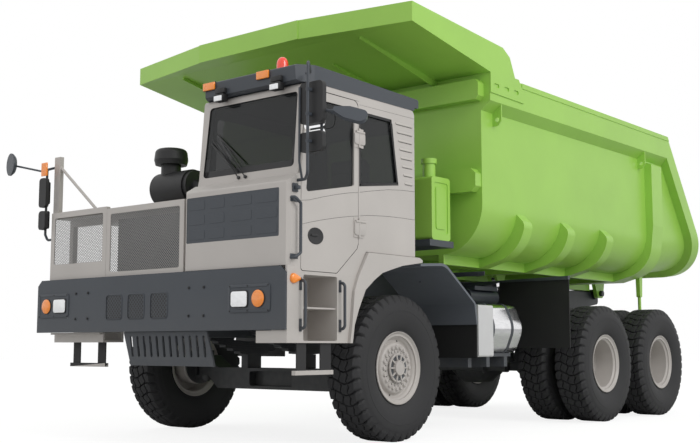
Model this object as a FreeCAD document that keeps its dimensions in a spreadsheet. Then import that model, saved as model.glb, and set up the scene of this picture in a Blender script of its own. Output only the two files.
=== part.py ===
import FreeCAD, Part
import math
import os
import types

import Sketcher

# Mining dump truck, 6x4 wide body with a one-person cab on the left. Millimetres and degrees.
# X points to the truck's left, Y to its rear and Z up. The origin is the point on the ground
# under the middle of the front axle.

doc = FreeCAD.newDocument("mining_dump_truck")
sheet = doc.addObject("Spreadsheet::Sheet", "dims")

SIZES = """
wheels
  tyre_radius 747.5          tyre_width 430             tread_width 350
  carcass 45                 bead_radius 326            bead_thick 40
  flange_radius 372          flange_thick 14            seat_radius 325
  rim_half 176               rim_wall 22                front_track 3044
  dual_track 3081            dual_pitch 527             wheelbase 4116
  bogie_pitch 1718           front_hub_radius 150       rear_hub_radius 165
  front_bore 70              rear_bore 90               web_thick 28
  seat_gap 0.3               run_gap 0.5

front_axle
  kingpin_x 1160             kingpin_radius 35          yoke_inner 236
  yoke_plate 55              beam_low 490               beam_high 725
  beam_depth 240             beam_drop_x 850            steer_arm_y 420
  steer_arm_z 612            tie_rod_z 545              tie_rod_radius 26
  stud_radius 20             yoke_half 85
  front_drum_radius 225      front_spring_x 420         front_spring_width 100
  front_spring_half 800      front_spring_seat 880      front_spring_sag 90
  leaf_gap 0.4               front_leaves 6             front_leaf 24
  bogie_leaves 7             bogie_leaf 28

drive_axles
  banjo_radius 285           axle_tube_radius 115       rear_drum_radius 225
  axle_pad_x 740             bogie_spring_width 120     trunnion_height 985
  trunnion_radius 75         bogie_spring_half 955      spring_seat 950
  nose_length 420            nose_radius 130            shaft_radius 58
  nose_rise 70               bogie_sag 125              pad_drop 8
  gearbox_rear 1250          gearbox_height 1330

frame
  rail_outer 460             rail_width 80              rail_plate 16
  rail_top 1820              rail_bottom 1380           rail_front_top 1600
  rail_kink_front 250
  rail_kink_rear 750         cross_radius 70            pivot_y 6850
  pivot_z 1800               pivot_pin 45               pivot_boss 108

bumper
  bumper_front -1892         bumper_depth 110           bumper_half 1864.5
  bumper_low 1114            bumper_high 1684           bumper_skin 18
  bumper_box 1120
  bumper_cut_x 68            bumper_cut_z 62            lamp_in 1150
  lamp_out 1677              lamp_low 1272              lamp_high 1532
  vent_low 1245              vent_high 1480             vent_width 245
  vent_pitch 350             vent_slits 5               guard_half 615             guard_low 775
  guard_thick 20             guard_slots 12
  slot_width 34              slot_low 862               guard_lean 8
  guard_seat 3.1

cab
  cab_inner 480              cab_outer 1865             cab_front -1862
  cab_rear 60                cab_roof_line 3410         cab_wall 50
  cab_low 1605               cab_rear_low 1880          nose_top 2454
  screen_low_y -1701         screen_low_z 2604          screen_top_y -1629
  screen_top_z 3331          shelf_y -1720              shelf_z 2535
  door_front -1690           door_rear -870             door_low 1650
  door_high 3345             door_gap 6                 hinge_x 1877
  hinge_y -867               hinge_low 2008             hinge_high 2888
  hinge_length 188           hinge_barrel 12            hinge_pin 6
  roof_over 70               glass_thick 12
  arch_step_y -750           arch_foot_y -905           screen_half 620
  nose_panel_in 519          nose_panel_out 1750        nose_panel_low 1955
  nose_panel_high 2398       cushion_low 2240
  visor_y -1681             entry_front -1872
  entry_rear -993            entry_low 997              step_front -1656
  step_rear -1184            step_depth 380             ladder_low 750

front_panels
  panel_front -1850          panel_depth 45             panel_outer 1712
  panel_split 741            panel_top 2405             mesh_columns 24
  deck_top 2385              deck_rear -60              post_top 3070

engine
  engine_front -1330         engine_rear 250            engine_low 1060
  engine_high 2230           cleaner_out 1700           cleaner_in 1080
  cleaner_y -330             cleaner_z 2850             cleaner_radius 205

sides
  tank_front 1820            tank_rear 2490             tank_low 890
  tank_high 1470             tank_outer 1700            hyd_front 530
  hyd_rear 880               hyd_low 2110               hyd_high 2800
  hyd_inner 1180             hyd_outer 1750             wing_inner 1000
  wing_outer 1900            wing_rear 1180             flap_inner 1000            flap_outer 2000
  flap_y 3100

body
  body_half 1990             rail_flare 123             body_front 1160
  body_floor 2000            body_wall 24               body_round 550
  body_top 4009              lip_low 3691               lip_slope 3594
  cap_depth 60               cap_proud 8                cap_start 1850
  lift_front 1400            lift_plate 16              lift_bore 27
  tail_start 5790            tail_floor 2185            tail_top_y 6050
  tail_top_z 3950
  tail_low_y 7440            tail_low_z 2080            rim_proud 122
  rim_band 280               rib_width 190              rib_first 1990
  rib_pitch 1055             rib_drop 105               rib_round 470
  rib_top 2465               post_front 5450
  sill_outer 1465            sill_height 110            sill_width 70
  beam_rest 20               stiff_depth 120            stiff_high_top 3930
  stiff_high_low 3700        stiff_low_top 2930         stiff_low_low 2670
  canopy_front -317          canopy_nose -549           canopy_fold 772
  canopy_lip_low 4244        canopy_lip_high 4452       canopy_back_low 4010
  doubler_slot 1235          doubler_pitch 212          doubler_low 3852
  canopy_plate 20

hoist
  hoist_x 770                hoist_low_y 3600           hoist_low_z 700
  hoist_high_y 3400          hoist_high_z 1880          barrel_radius 130
  stage_one_radius 108       stage_two_radius 88        stage_three_radius 70
  barrel_start 110           barrel_end 1020            eye_radius 75
  eye_width 60               eye_bore 32               neck_length 145
"""


class Size:
    """A number together with the sheet expression that it comes from."""

    def __init__(self, value, text):
        self.value = float(value)
        self.text = text

    def joined(self, sign, other, value):
        return Size(value, f"({self.text} {sign} {as_text(other)})")

    def __add__(self, other):
        return self.joined("+", other, self.value + number(other))

    def __sub__(self, other):
        return self.joined("-", other, self.value - number(other))

    def __mul__(self, other):
        return self.joined("*", other, self.value * number(other))

    def __truediv__(self, other):
        return self.joined("/", other, self.value / number(other))

    def __radd__(self, other):
        return Size(other, repr(float(other))) + self

    def __rsub__(self, other):
        return Size(other, repr(float(other))) - self

    def __rmul__(self, other):
        return self * other

    def __neg__(self):
        return self * -1


def number(x):
    return x.value if isinstance(x, Size) else float(x)


def as_text(x):
    return x.text if isinstance(x, Size) else f"({float(x)!r})"


def read_sizes():
    """Fills the sheet, one named cell per size, and returns the sizes by name."""
    words = SIZES.split()
    found = {}
    row = 1
    position = 0
    while position < len(words):
        word = words[position]
        following = words[position + 1]
        try:
            value = float(following)
        except ValueError:
            sheet.set(f"A{row}", word)
            row += 1
            position += 1
            continue
        sheet.set(f"A{row}", word)
        sheet.set(f"B{row}", following)
        sheet.setAlias(f"B{row}", word)
        found[word] = Size(value, f"dims.{word}")
        row += 1
        position += 2
    return types.SimpleNamespace(**found)


d = read_sizes()
doc.recompute()


# ---- drawing helpers -------------------------------------------------------------------

def bind(thing, prop, x):
    """Ties a property to the sheet, or sets it when it is a plain number."""
    if isinstance(x, Size):
        thing.setExpression(prop, x.text)
    elif "." in prop:
        thing.setExpression(prop, repr(float(x)))
    else:
        setattr(thing, prop, float(x))


def place(thing, x=0, y=0, z=0):
    for axis, value in zip("xyz", (x, y, z)):
        if isinstance(value, Size) or value:
            bind(thing, f"Placement.Base.{axis}", value)


def origin_part(body, role):
    return next(f for f in body.Origin.OriginFeatures if f.Role == role)


def add_loop(sketch, corners):
    """A closed outline; each corner is (x, y) or (x, y, rounding radius)."""
    spots = [FreeCAD.Vector(number(c[0]), number(c[1]), 0) for c in corners]
    count = len(spots)
    starts = list(spots)
    ends = list(spots)
    middles = {}
    for i, corner in enumerate(corners):
        if len(corner) == 3:
            back = (spots[i - 1] - spots[i]).normalize()
            onward = (spots[(i + 1) % count] - spots[i]).normalize()
            half_angle = back.getAngle(onward) / 2
            radius = number(corner[2])
            ends[i] = spots[i] + back * (radius / math.tan(half_angle))
            starts[i] = spots[i] + onward * (radius / math.tan(half_angle))
            inward = (back + onward).normalize()
            middles[i] = spots[i] + inward * (radius / math.sin(half_angle) - radius)
    first = sketch.GeometryCount
    shapes = [Part.LineSegment(starts[i], ends[(i + 1) % count]) for i in range(count)]
    rules = []
    bound = []

    def rule(value, *words):
        if isinstance(value, Size):
            bound.append((len(rules), value))
        rules.append(Sketcher.Constraint(*words))

    for i, corner in enumerate(corners):
        line_in = first + (i - 1) % count
        line_out = first + i
        if i in middles:
            arc = Part.Arc(ends[i], middles[i], starts[i])
            turning = (spots[i] - spots[i - 1]).cross(spots[(i + 1) % count] - spots[i]).z
            arc_index = first + len(shapes)
            shapes.append(arc)
            point_index = first + len(shapes)
            shapes.append(Part.Point(spots[i]))
            near, far = (1, 2) if turning > 0 else (2, 1)
            rule(None, "Tangent", line_in, 2, arc_index, near)
            rule(None, "Tangent", line_out, 1, arc_index, far)
            rule(None, "PointOnObject", point_index, 1, line_in)
            rule(None, "PointOnObject", point_index, 1, line_out)
            rule(corner[2], "Radius", arc_index, number(corner[2]))
            holder = (point_index, 1)
        else:
            rule(None, "Coincident", line_in, 2, line_out, 1)
            holder = (line_out, 1)
        rule(corner[0], "DistanceX", -1, 1, *holder, number(corner[0]))
        rule(corner[1], "DistanceY", -1, 1, *holder, number(corner[1]))
    sketch.addGeometry(shapes)
    for i, shape in enumerate(shapes):
        if isinstance(shape, Part.Point):
            sketch.toggleConstruction(first + i)
    offset = sketch.ConstraintCount
    sketch.addConstraint(rules)
    for index, value in bound:
        sketch.setExpression(f"Constraints[{offset + index}]", value.text)


def add_circle(sketch, x, y, radius):
    centre = FreeCAD.Vector(number(x), number(y), 0)
    up = FreeCAD.Vector(0, 0, 1)
    index = sketch.addGeometry(Part.Circle(centre, up, number(radius)))
    for kind, value in (("DistanceX", x), ("DistanceY", y)):
        rule = sketch.addConstraint(Sketcher.Constraint(kind, -1, 1, index, 3, number(value)))
        if isinstance(value, Size):
            sketch.setExpression(f"Constraints[{rule}]", value.text)
    rule = sketch.addConstraint(Sketcher.Constraint("Radius", index, number(radius)))
    if isinstance(radius, Size):
        sketch.setExpression(f"Constraints[{rule}]", radius.text)


# Pads run from low to high along the axis that the plane faces.
FACING = {"YZ_Plane": 1, "XZ_Plane": -1, "XY_Plane": 1}


def draw(body, role, loops, level=0, circles=()):
    sketch = body.newObject("Sketcher::SketchObject", "outline")
    sketch.AttachmentSupport = [(origin_part(body, role), "")]
    sketch.MapMode = "FlatFace"
    if isinstance(level, Size) or level:
        bind(sketch, "AttachmentOffset.Base.z", level * FACING[role])
    for loop in loops:
        add_loop(sketch, loop)
    for x, y, radius in circles:
        add_circle(sketch, x, y, radius)
    return sketch


def new_body(label):
    body = doc.addObject("PartDesign::Body", label)
    body.Label = label
    return body


def pad(body, role, loops, low, high, circles=()):
    """Adds the outline between two levels of the axis that its plane faces."""
    near = low if FACING[role] > 0 else high
    sketch = draw(body, role, loops, near, circles)
    feature = body.newObject("PartDesign::Pad", "pad")
    feature.Profile = sketch
    bind(feature, "Length", high - low)
    return feature


def cut(body, role, loops, low, high, circles=()):
    """Removes the outline between two levels; a pocket runs against its plane's facing."""
    near = high if FACING[role] > 0 else low
    sketch = draw(body, role, loops, near, circles)
    feature = body.newObject("PartDesign::Pocket", "pocket")
    feature.Profile = sketch
    bind(feature, "Length", high - low)
    return feature


def cut_row(body, role, loop, low, high, span, count, along="H_Axis"):
    """Cuts the outline and repeats it in a straight row over the span."""
    feature = cut(body, role, [loop], low, high)
    row = body.newObject("PartDesign::LinearPattern", "row")
    row.Originals = [feature]
    row.Direction = (feature.Profile[0], [along])
    bind(row, "Length", span)
    bind(row, "Occurrences", count)
    body.Tip = row


def box_loop(x0, x1, y0, y1, r=None):
    corners = [(x0, y0), (x1, y0), (x1, y1), (x0, y1)]
    return corners if r is None else [(x, y, r) for x, y in corners]


def plate(label, role, loops, low, high, circles=()):
    body = new_body(label)
    pad(body, role, loops, low, high, circles)
    return body


def turned(label, loop):
    """A solid of revolution about X; the outline is (distance along X, radius)."""
    body = new_body(label)
    sketch = draw(body, "XZ_Plane", [loop])
    feature = body.newObject("PartDesign::Revolution", "turned")
    feature.Profile = sketch
    feature.ReferenceAxis = (origin_part(body, "X_Axis"), [""])
    feature.Angle = 360
    return body


def both_sides(loop):
    """Closes a half outline, drawn at positive first coordinate, by its mirror image."""
    return list(loop) + [(-c[0],) + tuple(c[1:]) for c in reversed(loop)]


def brick(label, x0, x1, y0, y1, z0, z1):
    thing = doc.addObject("Part::Box", label)
    thing.Label = label
    bind(thing, "Length", x1 - x0)
    bind(thing, "Width", y1 - y0)
    bind(thing, "Height", z1 - z0)
    place(thing, x0, y0, z0)
    return thing


AXES = {"X": FreeCAD.Vector(1, 0, 0), "Y": FreeCAD.Vector(0, 1, 0), "Z": FreeCAD.Vector(0, 0, 1)}


def drum(label, axis, radius, low, high, a, b):
    """A cylinder along a main axis from low to high; a and b are its other two coordinates."""
    thing = doc.addObject("Part::Cylinder", label)
    thing.Label = label
    bind(thing, "Radius", radius)
    bind(thing, "Height", high - low)
    turn = FreeCAD.Rotation(FreeCAD.Vector(0, 0, 1), AXES[axis])
    thing.Placement = FreeCAD.Placement(FreeCAD.Vector(), turn)
    spots = {"X": (low, a, b), "Y": (a, low, b), "Z": (a, b, low)}
    place(thing, *spots[axis])
    return thing


def bar(label, start, end, radius):
    """A round bar between two points."""
    thing = doc.addObject("Part::Cylinder", label)
    thing.Label = label
    first = FreeCAD.Vector(*[number(v) for v in start])
    run = FreeCAD.Vector(*[number(v) for v in end]) - first
    bind(thing, "Radius", radius)
    thing.Height = run.Length
    thing.Placement = FreeCAD.Placement(first, FreeCAD.Rotation(FreeCAD.Vector(0, 0, 1), run))
    return thing


def fuse(label, things):
    thing = doc.addObject("Part::MultiFuse", label)
    thing.Shapes = things
    thing.Label = label
    return thing


def carve(label, base, tool):
    thing = doc.addObject("Part::Cut", label)
    thing.Base = base
    thing.Tool = tool
    thing.Label = label
    return thing


def overlap_of(label, first, second):
    thing = doc.addObject("Part::MultiCommon", label)
    thing.Shapes = [first, second]
    thing.Label = label
    return thing


def group(label, things):
    thing = doc.addObject("Part::Compound", label)
    thing.Links = things
    thing.Label = label
    return thing


def mirrored(label, source):
    thing = doc.addObject("Part::Mirroring", label)
    thing.Source = source
    thing.Normal = FreeCAD.Vector(1, 0, 0)
    thing.Label = label
    return thing


def pair(label, source):
    """The piece and its mirror image on the other side, as one node."""
    return group(label, [source, mirrored(label + "_right_hand", source)])


def tube_path(label, points, radius, bend=None):
    """A bent tube: straight runs joined by tangent arcs of one radius, or each as wide as its runs allow."""
    spots = [FreeCAD.Vector(*[number(v) for v in p]) for p in points]
    edges = []
    last = spots[0]
    for before, corner, after in zip(spots, spots[1:], spots[2:]):
        back = (before - corner).normalize()
        onward = (after - corner).normalize()
        turn = math.pi - back.getAngle(onward)
        if bend is None:
            reach = 0.45 * min((before - corner).Length, (after - corner).Length)
        else:
            reach = number(bend) * math.tan(turn / 2)
        arc = reach / math.tan(turn / 2)
        first = corner + back * reach
        second = corner + onward * reach
        middle = (back + onward).normalize()
        centre = corner + middle * (arc / math.cos(turn / 2))
        top = centre - middle * arc
        edges.append(Part.LineSegment(last, first).toShape())
        edges.append(Part.Arc(first, top, second).toShape())
        last = second
    edges.append(Part.LineSegment(last, spots[-1]).toShape())
    wire = Part.Wire(edges)
    ring = Part.Wire([Part.Circle(spots[0], spots[1] - spots[0], number(radius)).toShape()])
    thing = doc.addObject("Part::Feature", label)
    thing.Shape = wire.makePipeShell([ring], True, False)
    thing.Label = label
    return thing


nodes = []


def keep(*things):
    nodes.extend(things)


# ---- wheels ----------------------------------------------------------------------------

def tyre(label):
    """A hollow carcass; its beads stand on the rim's seats, inside the flanges."""
    side = d.tyre_width / 2
    crown = d.tread_width / 2
    bead = d.rim_half - d.flange_thick - d.seat_gap
    bead_low = d.seat_radius + d.seat_gap
    lining = side - d.carcass
    outer = [(bead, bead_low), (bead, d.flange_radius + 12), (side, d.flange_radius + 140, 90),
             (side - 8, d.tyre_radius - 95, 60), (crown, d.tyre_radius, 26)]
    inner = [(bead - d.bead_thick, bead_low), (bead - d.bead_thick, d.flange_radius + 14),
             (lining, d.flange_radius + 135, 70), (lining, d.tyre_radius - d.carcass - 85, 50),
             (crown - 22, d.tyre_radius - d.carcass - 10, 30)]
    left = [(-c[0],) + tuple(c[1:]) for c in outer]
    left_inner = [(-c[0],) + tuple(c[1:]) for c in inner]
    return turned(label, outer + left[::-1] + left_inner + inner[::-1])


def rim(label, disc_seat, disc_reach, hub_hole):
    """A flanged rim with a dished disc; disc_seat is the disc's bolting face from mid-rim."""
    step = 1 if number(disc_seat) > 0 else -1
    bore = d.seat_radius - d.rim_wall
    edge = d.rim_half * step
    flange = (d.rim_half - d.flange_thick) * step
    root = disc_seat - disc_reach * step
    back = d.web_thick * step
    loop = [(edge, bore), (edge, d.flange_radius, 6), (flange, d.flange_radius), (flange, d.seat_radius),
            (-flange, d.seat_radius), (-flange, d.flange_radius), (-edge, d.flange_radius, 6),
            (-edge, bore), (root - back * 1.6, bore), (disc_seat - back, bore - 92, 40),
            (disc_seat - back, hub_hole), (disc_seat, hub_hole), (disc_seat, bore - 84, 40),
            (root, bore)]
    body = turned(label, loop)
    body.Tip = body.Group[-1]
    cutter = body.newObject("Sketcher::SketchObject", "hand_hole")
    cutter.AttachmentSupport = [(origin_part(body, "YZ_Plane"), "")]
    cutter.MapMode = "FlatFace"
    bind(cutter, "AttachmentOffset.Base.z", disc_seat + 60 if step > 0 else disc_seat + 120)
    add_circle(cutter, 0, bore - 60, 20)
    hole = body.newObject("PartDesign::Pocket", "hand_hole_cut")
    hole.Profile = cutter
    hole.Length = 200
    pattern = body.newObject("PartDesign::PolarPattern", "hand_holes")
    pattern.Originals = [hole]
    pattern.Axis = (origin_part(body, "X_Axis"), [""])
    pattern.Angle = 360
    pattern.Occurrences = 6
    body.Tip = pattern
    return body


def nut_ring(body, sketch_level, length, pitch_radius, count, radius):
    """A ring of equal round bosses about the wheel's axis."""
    sketch = draw(body, "YZ_Plane", [], sketch_level, [(0, pitch_radius, radius)])
    boss = body.newObject("PartDesign::Pad", "boss")
    boss.Profile = sketch
    bind(boss, "Length", length)
    pattern = body.newObject("PartDesign::PolarPattern", "bosses")
    pattern.Originals = [boss]
    pattern.Axis = (origin_part(body, "X_Axis"), [""])
    pattern.Angle = 360
    pattern.Occurrences = count
    body.Tip = pattern


front_x = d.front_track / 2
outer_x = (d.dual_track + d.dual_pitch) / 2
inner_x = (d.dual_track - d.dual_pitch) / 2
dual_x = d.dual_track / 2
mid_y = d.wheelbase
rear_y = d.wheelbase + d.bogie_pitch
hub_z = d.tyre_radius


def wheel_set(name, y):
    """Twin rims on one hub with its brake drum, drawn on the truck's left."""
    mate = d.dual_pitch / 2
    outer_rim = rim(f"{name}_outer_rim", -mate + d.seat_gap, 72, d.rear_bore + 20)
    inner_rim = rim(f"{name}_inner_rim", mate - d.seat_gap, 72, d.rear_bore + 20)
    place(outer_rim, outer_x, y, hub_z)
    place(inner_rim, inner_x, y, hub_z)
    hub_low = -d.dual_pitch + 20
    tube = d.rear_bore + 19
    hub = turned(f"{name}_hub", [
        (hub_low, d.rear_bore), (hub_low, d.rear_drum_radius), (hub_low + 190, d.rear_drum_radius),
        (hub_low + 190, tube + 40), (-d.web_thick * 1.1, tube + 40, 20), (-d.web_thick * 1.1, tube),
        (150, tube), (150, tube + 22), (172, tube + 22), (190, tube - 25, 14), (190, 0),
        (164, 0), (164, d.rear_bore)])
    place(hub, dual_x, y, hub_z)
    return group(f"{name}_left", [outer_rim, inner_rim, hub])


def front_wheel(label):
    face = d.rim_half - 46
    disc = rim(f"{label}_rim", face, 58, d.front_bore + 40)
    tube = d.front_bore + 39
    back = d.rim_half * -1 - 40
    hub = turned(f"{label}_hub", [
        (back, d.front_bore), (back, d.front_drum_radius), (back + 170, d.front_drum_radius),
        (back + 170, tube + 45), (face - d.web_thick - d.seat_gap, tube + 60),
        (face - d.web_thick - d.seat_gap, tube), (face + 22, tube), (face + 22, d.front_hub_radius),
        (face + 48, d.front_hub_radius - 12), (face + 30, 78), (face + 66, 66, 10), (face + 66, 0),
        (face - 6, 0), (face - 6, d.front_bore)])
    nut_ring(hub, face + 40, 20, d.front_hub_radius - 22, 10, 11)
    return group(label, [disc, hub])


def set_places(thing, x, y, z):
    place(thing, x, y, z)
    return thing


front_tyre = set_places(tyre("front_tyre_left"), front_x, 0, hub_z)
front_rims = set_places(front_wheel("front_wheel_left"), front_x, 0, hub_z)
keep(front_tyre, mirrored("front_tyre_right", front_tyre))
keep(front_rims, mirrored("front_wheel_right", front_rims))

for name, y in (("mid", mid_y), ("rear", rear_y)):
    twins = group(f"{name}_tyres_left", [
        set_places(tyre(f"{name}_outer_tyre"), outer_x, y, hub_z),
        set_places(tyre(f"{name}_inner_tyre"), inner_x, y, hub_z)])
    keep(twins, mirrored(f"{name}_tyres_right", twins))
    wheels = wheel_set(f"{name}_wheels", y)
    keep(wheels, mirrored(f"{name}_wheels_right", wheels))

# ---- front axle and steering -------------------------------------------------------------

eye_half = d.yoke_inner / 2 - 1
beam = plate("front_beam_web", "XZ_Plane", [both_sides([
    (d.beam_drop_x, d.beam_low), (d.kingpin_x - 150, hub_z - eye_half), (d.kingpin_x, hub_z - eye_half),
    (d.kingpin_x, hub_z + eye_half), (d.kingpin_x - 120, hub_z + eye_half, 60),
    (d.beam_drop_x, d.beam_high)])], -d.beam_depth / 2, d.beam_depth / 2)
recess = [box_loop(-d.front_spring_x + 90, d.front_spring_x - 90, d.beam_low + 35, d.beam_high - 35, 30)]
cut(beam, "XZ_Plane", recess, -d.beam_depth / 2, -d.rail_plate)
cut(beam, "XZ_Plane", recess, d.rail_plate * 1, d.beam_depth / 2)
eyes = [drum(f"beam_eye_{side}", "Z", d.kingpin_radius + 45, hub_z - eye_half, hub_z + eye_half, x, 0)
        for side, x in (("left", d.kingpin_x), ("right", -d.kingpin_x))]
bores = fuse("beam_eye_bores", [
    drum(f"eye_bore_{side}", "Z", d.kingpin_radius + d.seat_gap, hub_z - d.yoke_inner,
         hub_z + d.yoke_inner, x, 0) for side, x in (("left", d.kingpin_x), ("right", -d.kingpin_x))])
keep(carve("front_axle_beam", fuse("front_beam_whole", [beam, *eyes]), bores))

knuckle_face = d.kingpin_x + d.kingpin_radius + 60
lug_top = hub_z + d.yoke_inner / 2
lug_low = hub_z - d.yoke_inner / 2
upright = plate("knuckle_upright", "XZ_Plane", [[
    (d.kingpin_x, lug_low - d.yoke_plate), (knuckle_face + 30, lug_low - d.yoke_plate),
    (knuckle_face + 30, lug_top + d.yoke_plate), (d.kingpin_x, lug_top + d.yoke_plate),
    (d.kingpin_x, lug_top), (knuckle_face - 8, lug_top, 6), (knuckle_face - 8, lug_low, 6),
    (d.kingpin_x, lug_low)]], -d.yoke_half, d.yoke_half)
knuckle_bits = [
    upright,
    drum("knuckle_lug_top", "Z", d.yoke_half, lug_top, lug_top + d.yoke_plate, d.kingpin_x, 0),
    drum("knuckle_lug_low", "Z", d.yoke_half, lug_low - d.yoke_plate, lug_low, d.kingpin_x, 0),
    drum("kingpin", "Z", d.kingpin_radius, lug_low - d.yoke_plate - 18, lug_top + d.yoke_plate + 18,
         d.kingpin_x, 0),
    drum("spindle", "X", d.front_bore - d.run_gap, knuckle_face, front_x + d.rim_half - 60, 0, hub_z),
    drum("drum_shield", "X", d.front_drum_radius - 5, knuckle_face + 10, knuckle_face + 30, 0, hub_z),
    plate("steering_arm", "XY_Plane", [[
        (d.kingpin_x - 50, 0), (d.kingpin_x + 50, 0), (d.kingpin_x + 34, d.steer_arm_y + 34, 30),
        (d.kingpin_x - 34, d.steer_arm_y + 34, 30)]], d.steer_arm_z - 25, d.steer_arm_z + 14),
    drum("arm_stud", "Z", d.stud_radius, d.tie_rod_z - 34, d.steer_arm_z, d.kingpin_x, d.steer_arm_y)]
knuckle = fuse("steering_knuckle_left", knuckle_bits)
keep(knuckle, mirrored("steering_knuckle_right", knuckle))

rod_eyes = [drum(f"rod_eye_{side}", "Z", d.stud_radius + 22, d.tie_rod_z - 28, d.tie_rod_z + 28, x,
                 d.steer_arm_y) for side, x in (("left", d.kingpin_x), ("right", -d.kingpin_x))]
rod_bores = fuse("rod_eye_bores", [
    drum(f"rod_bore_{side}", "Z", d.stud_radius + d.seat_gap, d.tie_rod_z - 60, d.tie_rod_z + 60, x,
         d.steer_arm_y) for side, x in (("left", d.kingpin_x), ("right", -d.kingpin_x))])
rod = drum("rod_bar", "X", d.tie_rod_radius, -d.kingpin_x + 20, d.kingpin_x - 20, d.steer_arm_y,
           d.tie_rod_z)
keep(carve("tie_rod", fuse("tie_rod_whole", [rod, *rod_eyes]), rod_bores))


# ---- springs -----------------------------------------------------------------------------

def leaf_pack(label, x, width, y, seat, half, sag, count, thick, arched):
    """Curved leaves from the seat up; an arched pack is high in the middle, longest leaf low."""
    radius = (half * half + sag * sag) / (2 * sag)
    leaves = []
    for i in range(count):
        if arched:
            inner = radius + i * thick
            outer = inner + thick - d.leaf_gap
            centre = seat - radius
            shorter = i
        else:
            outer = radius - i * thick
            inner = outer - thick + d.leaf_gap
            centre = seat + radius
            shorter = count - 1 - i
        ring = carve(f"{label}_ring_{i}",
                     drum(f"{label}_outer_{i}", "X", outer, x - width / 2, x + width / 2, y, centre),
                     drum(f"{label}_inner_{i}", "X", inner, x - width, x + width, y, centre))
        reach = half - half * shorter / (count + 1)
        low = seat - sag * 2 if arched else seat - thick
        window = brick(f"{label}_window_{i}", x - width, x + width, y - reach, y + reach,
                       low, low + half)
        leaves.append(overlap_of(f"{label}_leaf_{i}", ring, window))
    return leaves


front_pack = leaf_pack("front_spring", d.front_spring_x, d.front_spring_width, 0,
                       d.front_spring_seat, d.front_spring_half, d.front_spring_sag,
                       int(d.front_leaves.value), d.front_leaf, False)
saddle = brick("front_saddle", d.front_spring_x - d.front_spring_width / 2,
               d.front_spring_x + d.front_spring_width / 2, -110, 110,
               d.beam_high + d.seat_gap, d.front_spring_seat - d.seat_gap)
main_leaf = (d.front_spring_half * d.front_spring_half + d.front_spring_sag * d.front_spring_sag) \
    / (2 * d.front_spring_sag) - d.front_leaves * d.front_leaf
shackle_low = d.front_spring_seat + d.front_leaves * d.front_leaf \
    + d.front_spring_half * d.front_spring_half / (2 * main_leaf) + 1.4
hanger = plate("front_hangers", "YZ_Plane", [
    [(d.front_spring_half * side - 60, d.rail_bottom), (d.front_spring_half * side - 60, shackle_low),
     (d.front_spring_half * side + 60, shackle_low), (d.front_spring_half * side + 60, d.rail_bottom)]
    for side in (-1, 1)], d.front_spring_x - 38, d.front_spring_x + 38)
front_springs = pair("front_springs", group("front_spring_left", [*front_pack, saddle]))

trunnion_y = mid_y + d.bogie_pitch / 2
bogie_crown = d.spring_seat + d.bogie_sag
bogie_pack = leaf_pack("bogie_spring", d.axle_pad_x, d.bogie_spring_width, trunnion_y, bogie_crown,
                       d.bogie_spring_half, d.bogie_sag, int(d.bogie_leaves.value), d.bogie_leaf, True)
half_width = d.bogie_spring_width / 2
saddle_block = plate("bogie_saddle_block", "YZ_Plane", [[
    (trunnion_y - 150, d.trunnion_height + 20), (trunnion_y + 150, d.trunnion_height + 20),
    (trunnion_y + 170, bogie_crown + 10), (trunnion_y - 170, bogie_crown + 10)]],
    d.axle_pad_x - half_width, d.axle_pad_x + half_width)
bogie_radius = (d.bogie_spring_half * d.bogie_spring_half + d.bogie_sag * d.bogie_sag) / (2 * d.bogie_sag)
saddles = overlap_of("bogie_saddles", saddle_block, drum(
    "saddle_curve", "X", bogie_radius - d.seat_gap, d.axle_pad_x - half_width - 5,
    d.axle_pad_x + half_width + 5, trunnion_y, bogie_crown - bogie_radius))
cap = brick("bogie_cap", d.axle_pad_x - half_width - 20, d.axle_pad_x + half_width + 20,
            trunnion_y - 110, trunnion_y + 110, bogie_crown + d.bogie_leaves * d.bogie_leaf,
            bogie_crown + d.bogie_leaves * d.bogie_leaf + 30)
bogie_springs = pair("bogie_springs", group("bogie_spring_left", [*bogie_pack, cap]))
keep(group("springs", [front_springs, bogie_springs]))
trunnion = drum("trunnion_tube", "X", d.trunnion_radius, -d.axle_pad_x - 90, d.axle_pad_x + 90,
                trunnion_y, d.trunnion_height)
drop = plate("trunnion_bracket", "YZ_Plane", [[
    (trunnion_y - 330, d.rail_bottom + 120), (trunnion_y - 330, d.rail_bottom - 30),
    (trunnion_y - 120, d.trunnion_height - 80, 60), (trunnion_y + 120, d.trunnion_height - 80, 60),
    (trunnion_y + 330, d.rail_bottom - 30), (trunnion_y + 330, d.rail_bottom + 120)]],
    d.rail_outer, d.rail_outer + 26)
keep(fuse("bogie_mount", [trunnion, drop, mirrored("trunnion_bracket_right", drop), saddles,
                          mirrored("bogie_saddles_right", saddles)]))


# ---- drive axles and shafts ----------------------------------------------------------------

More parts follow.
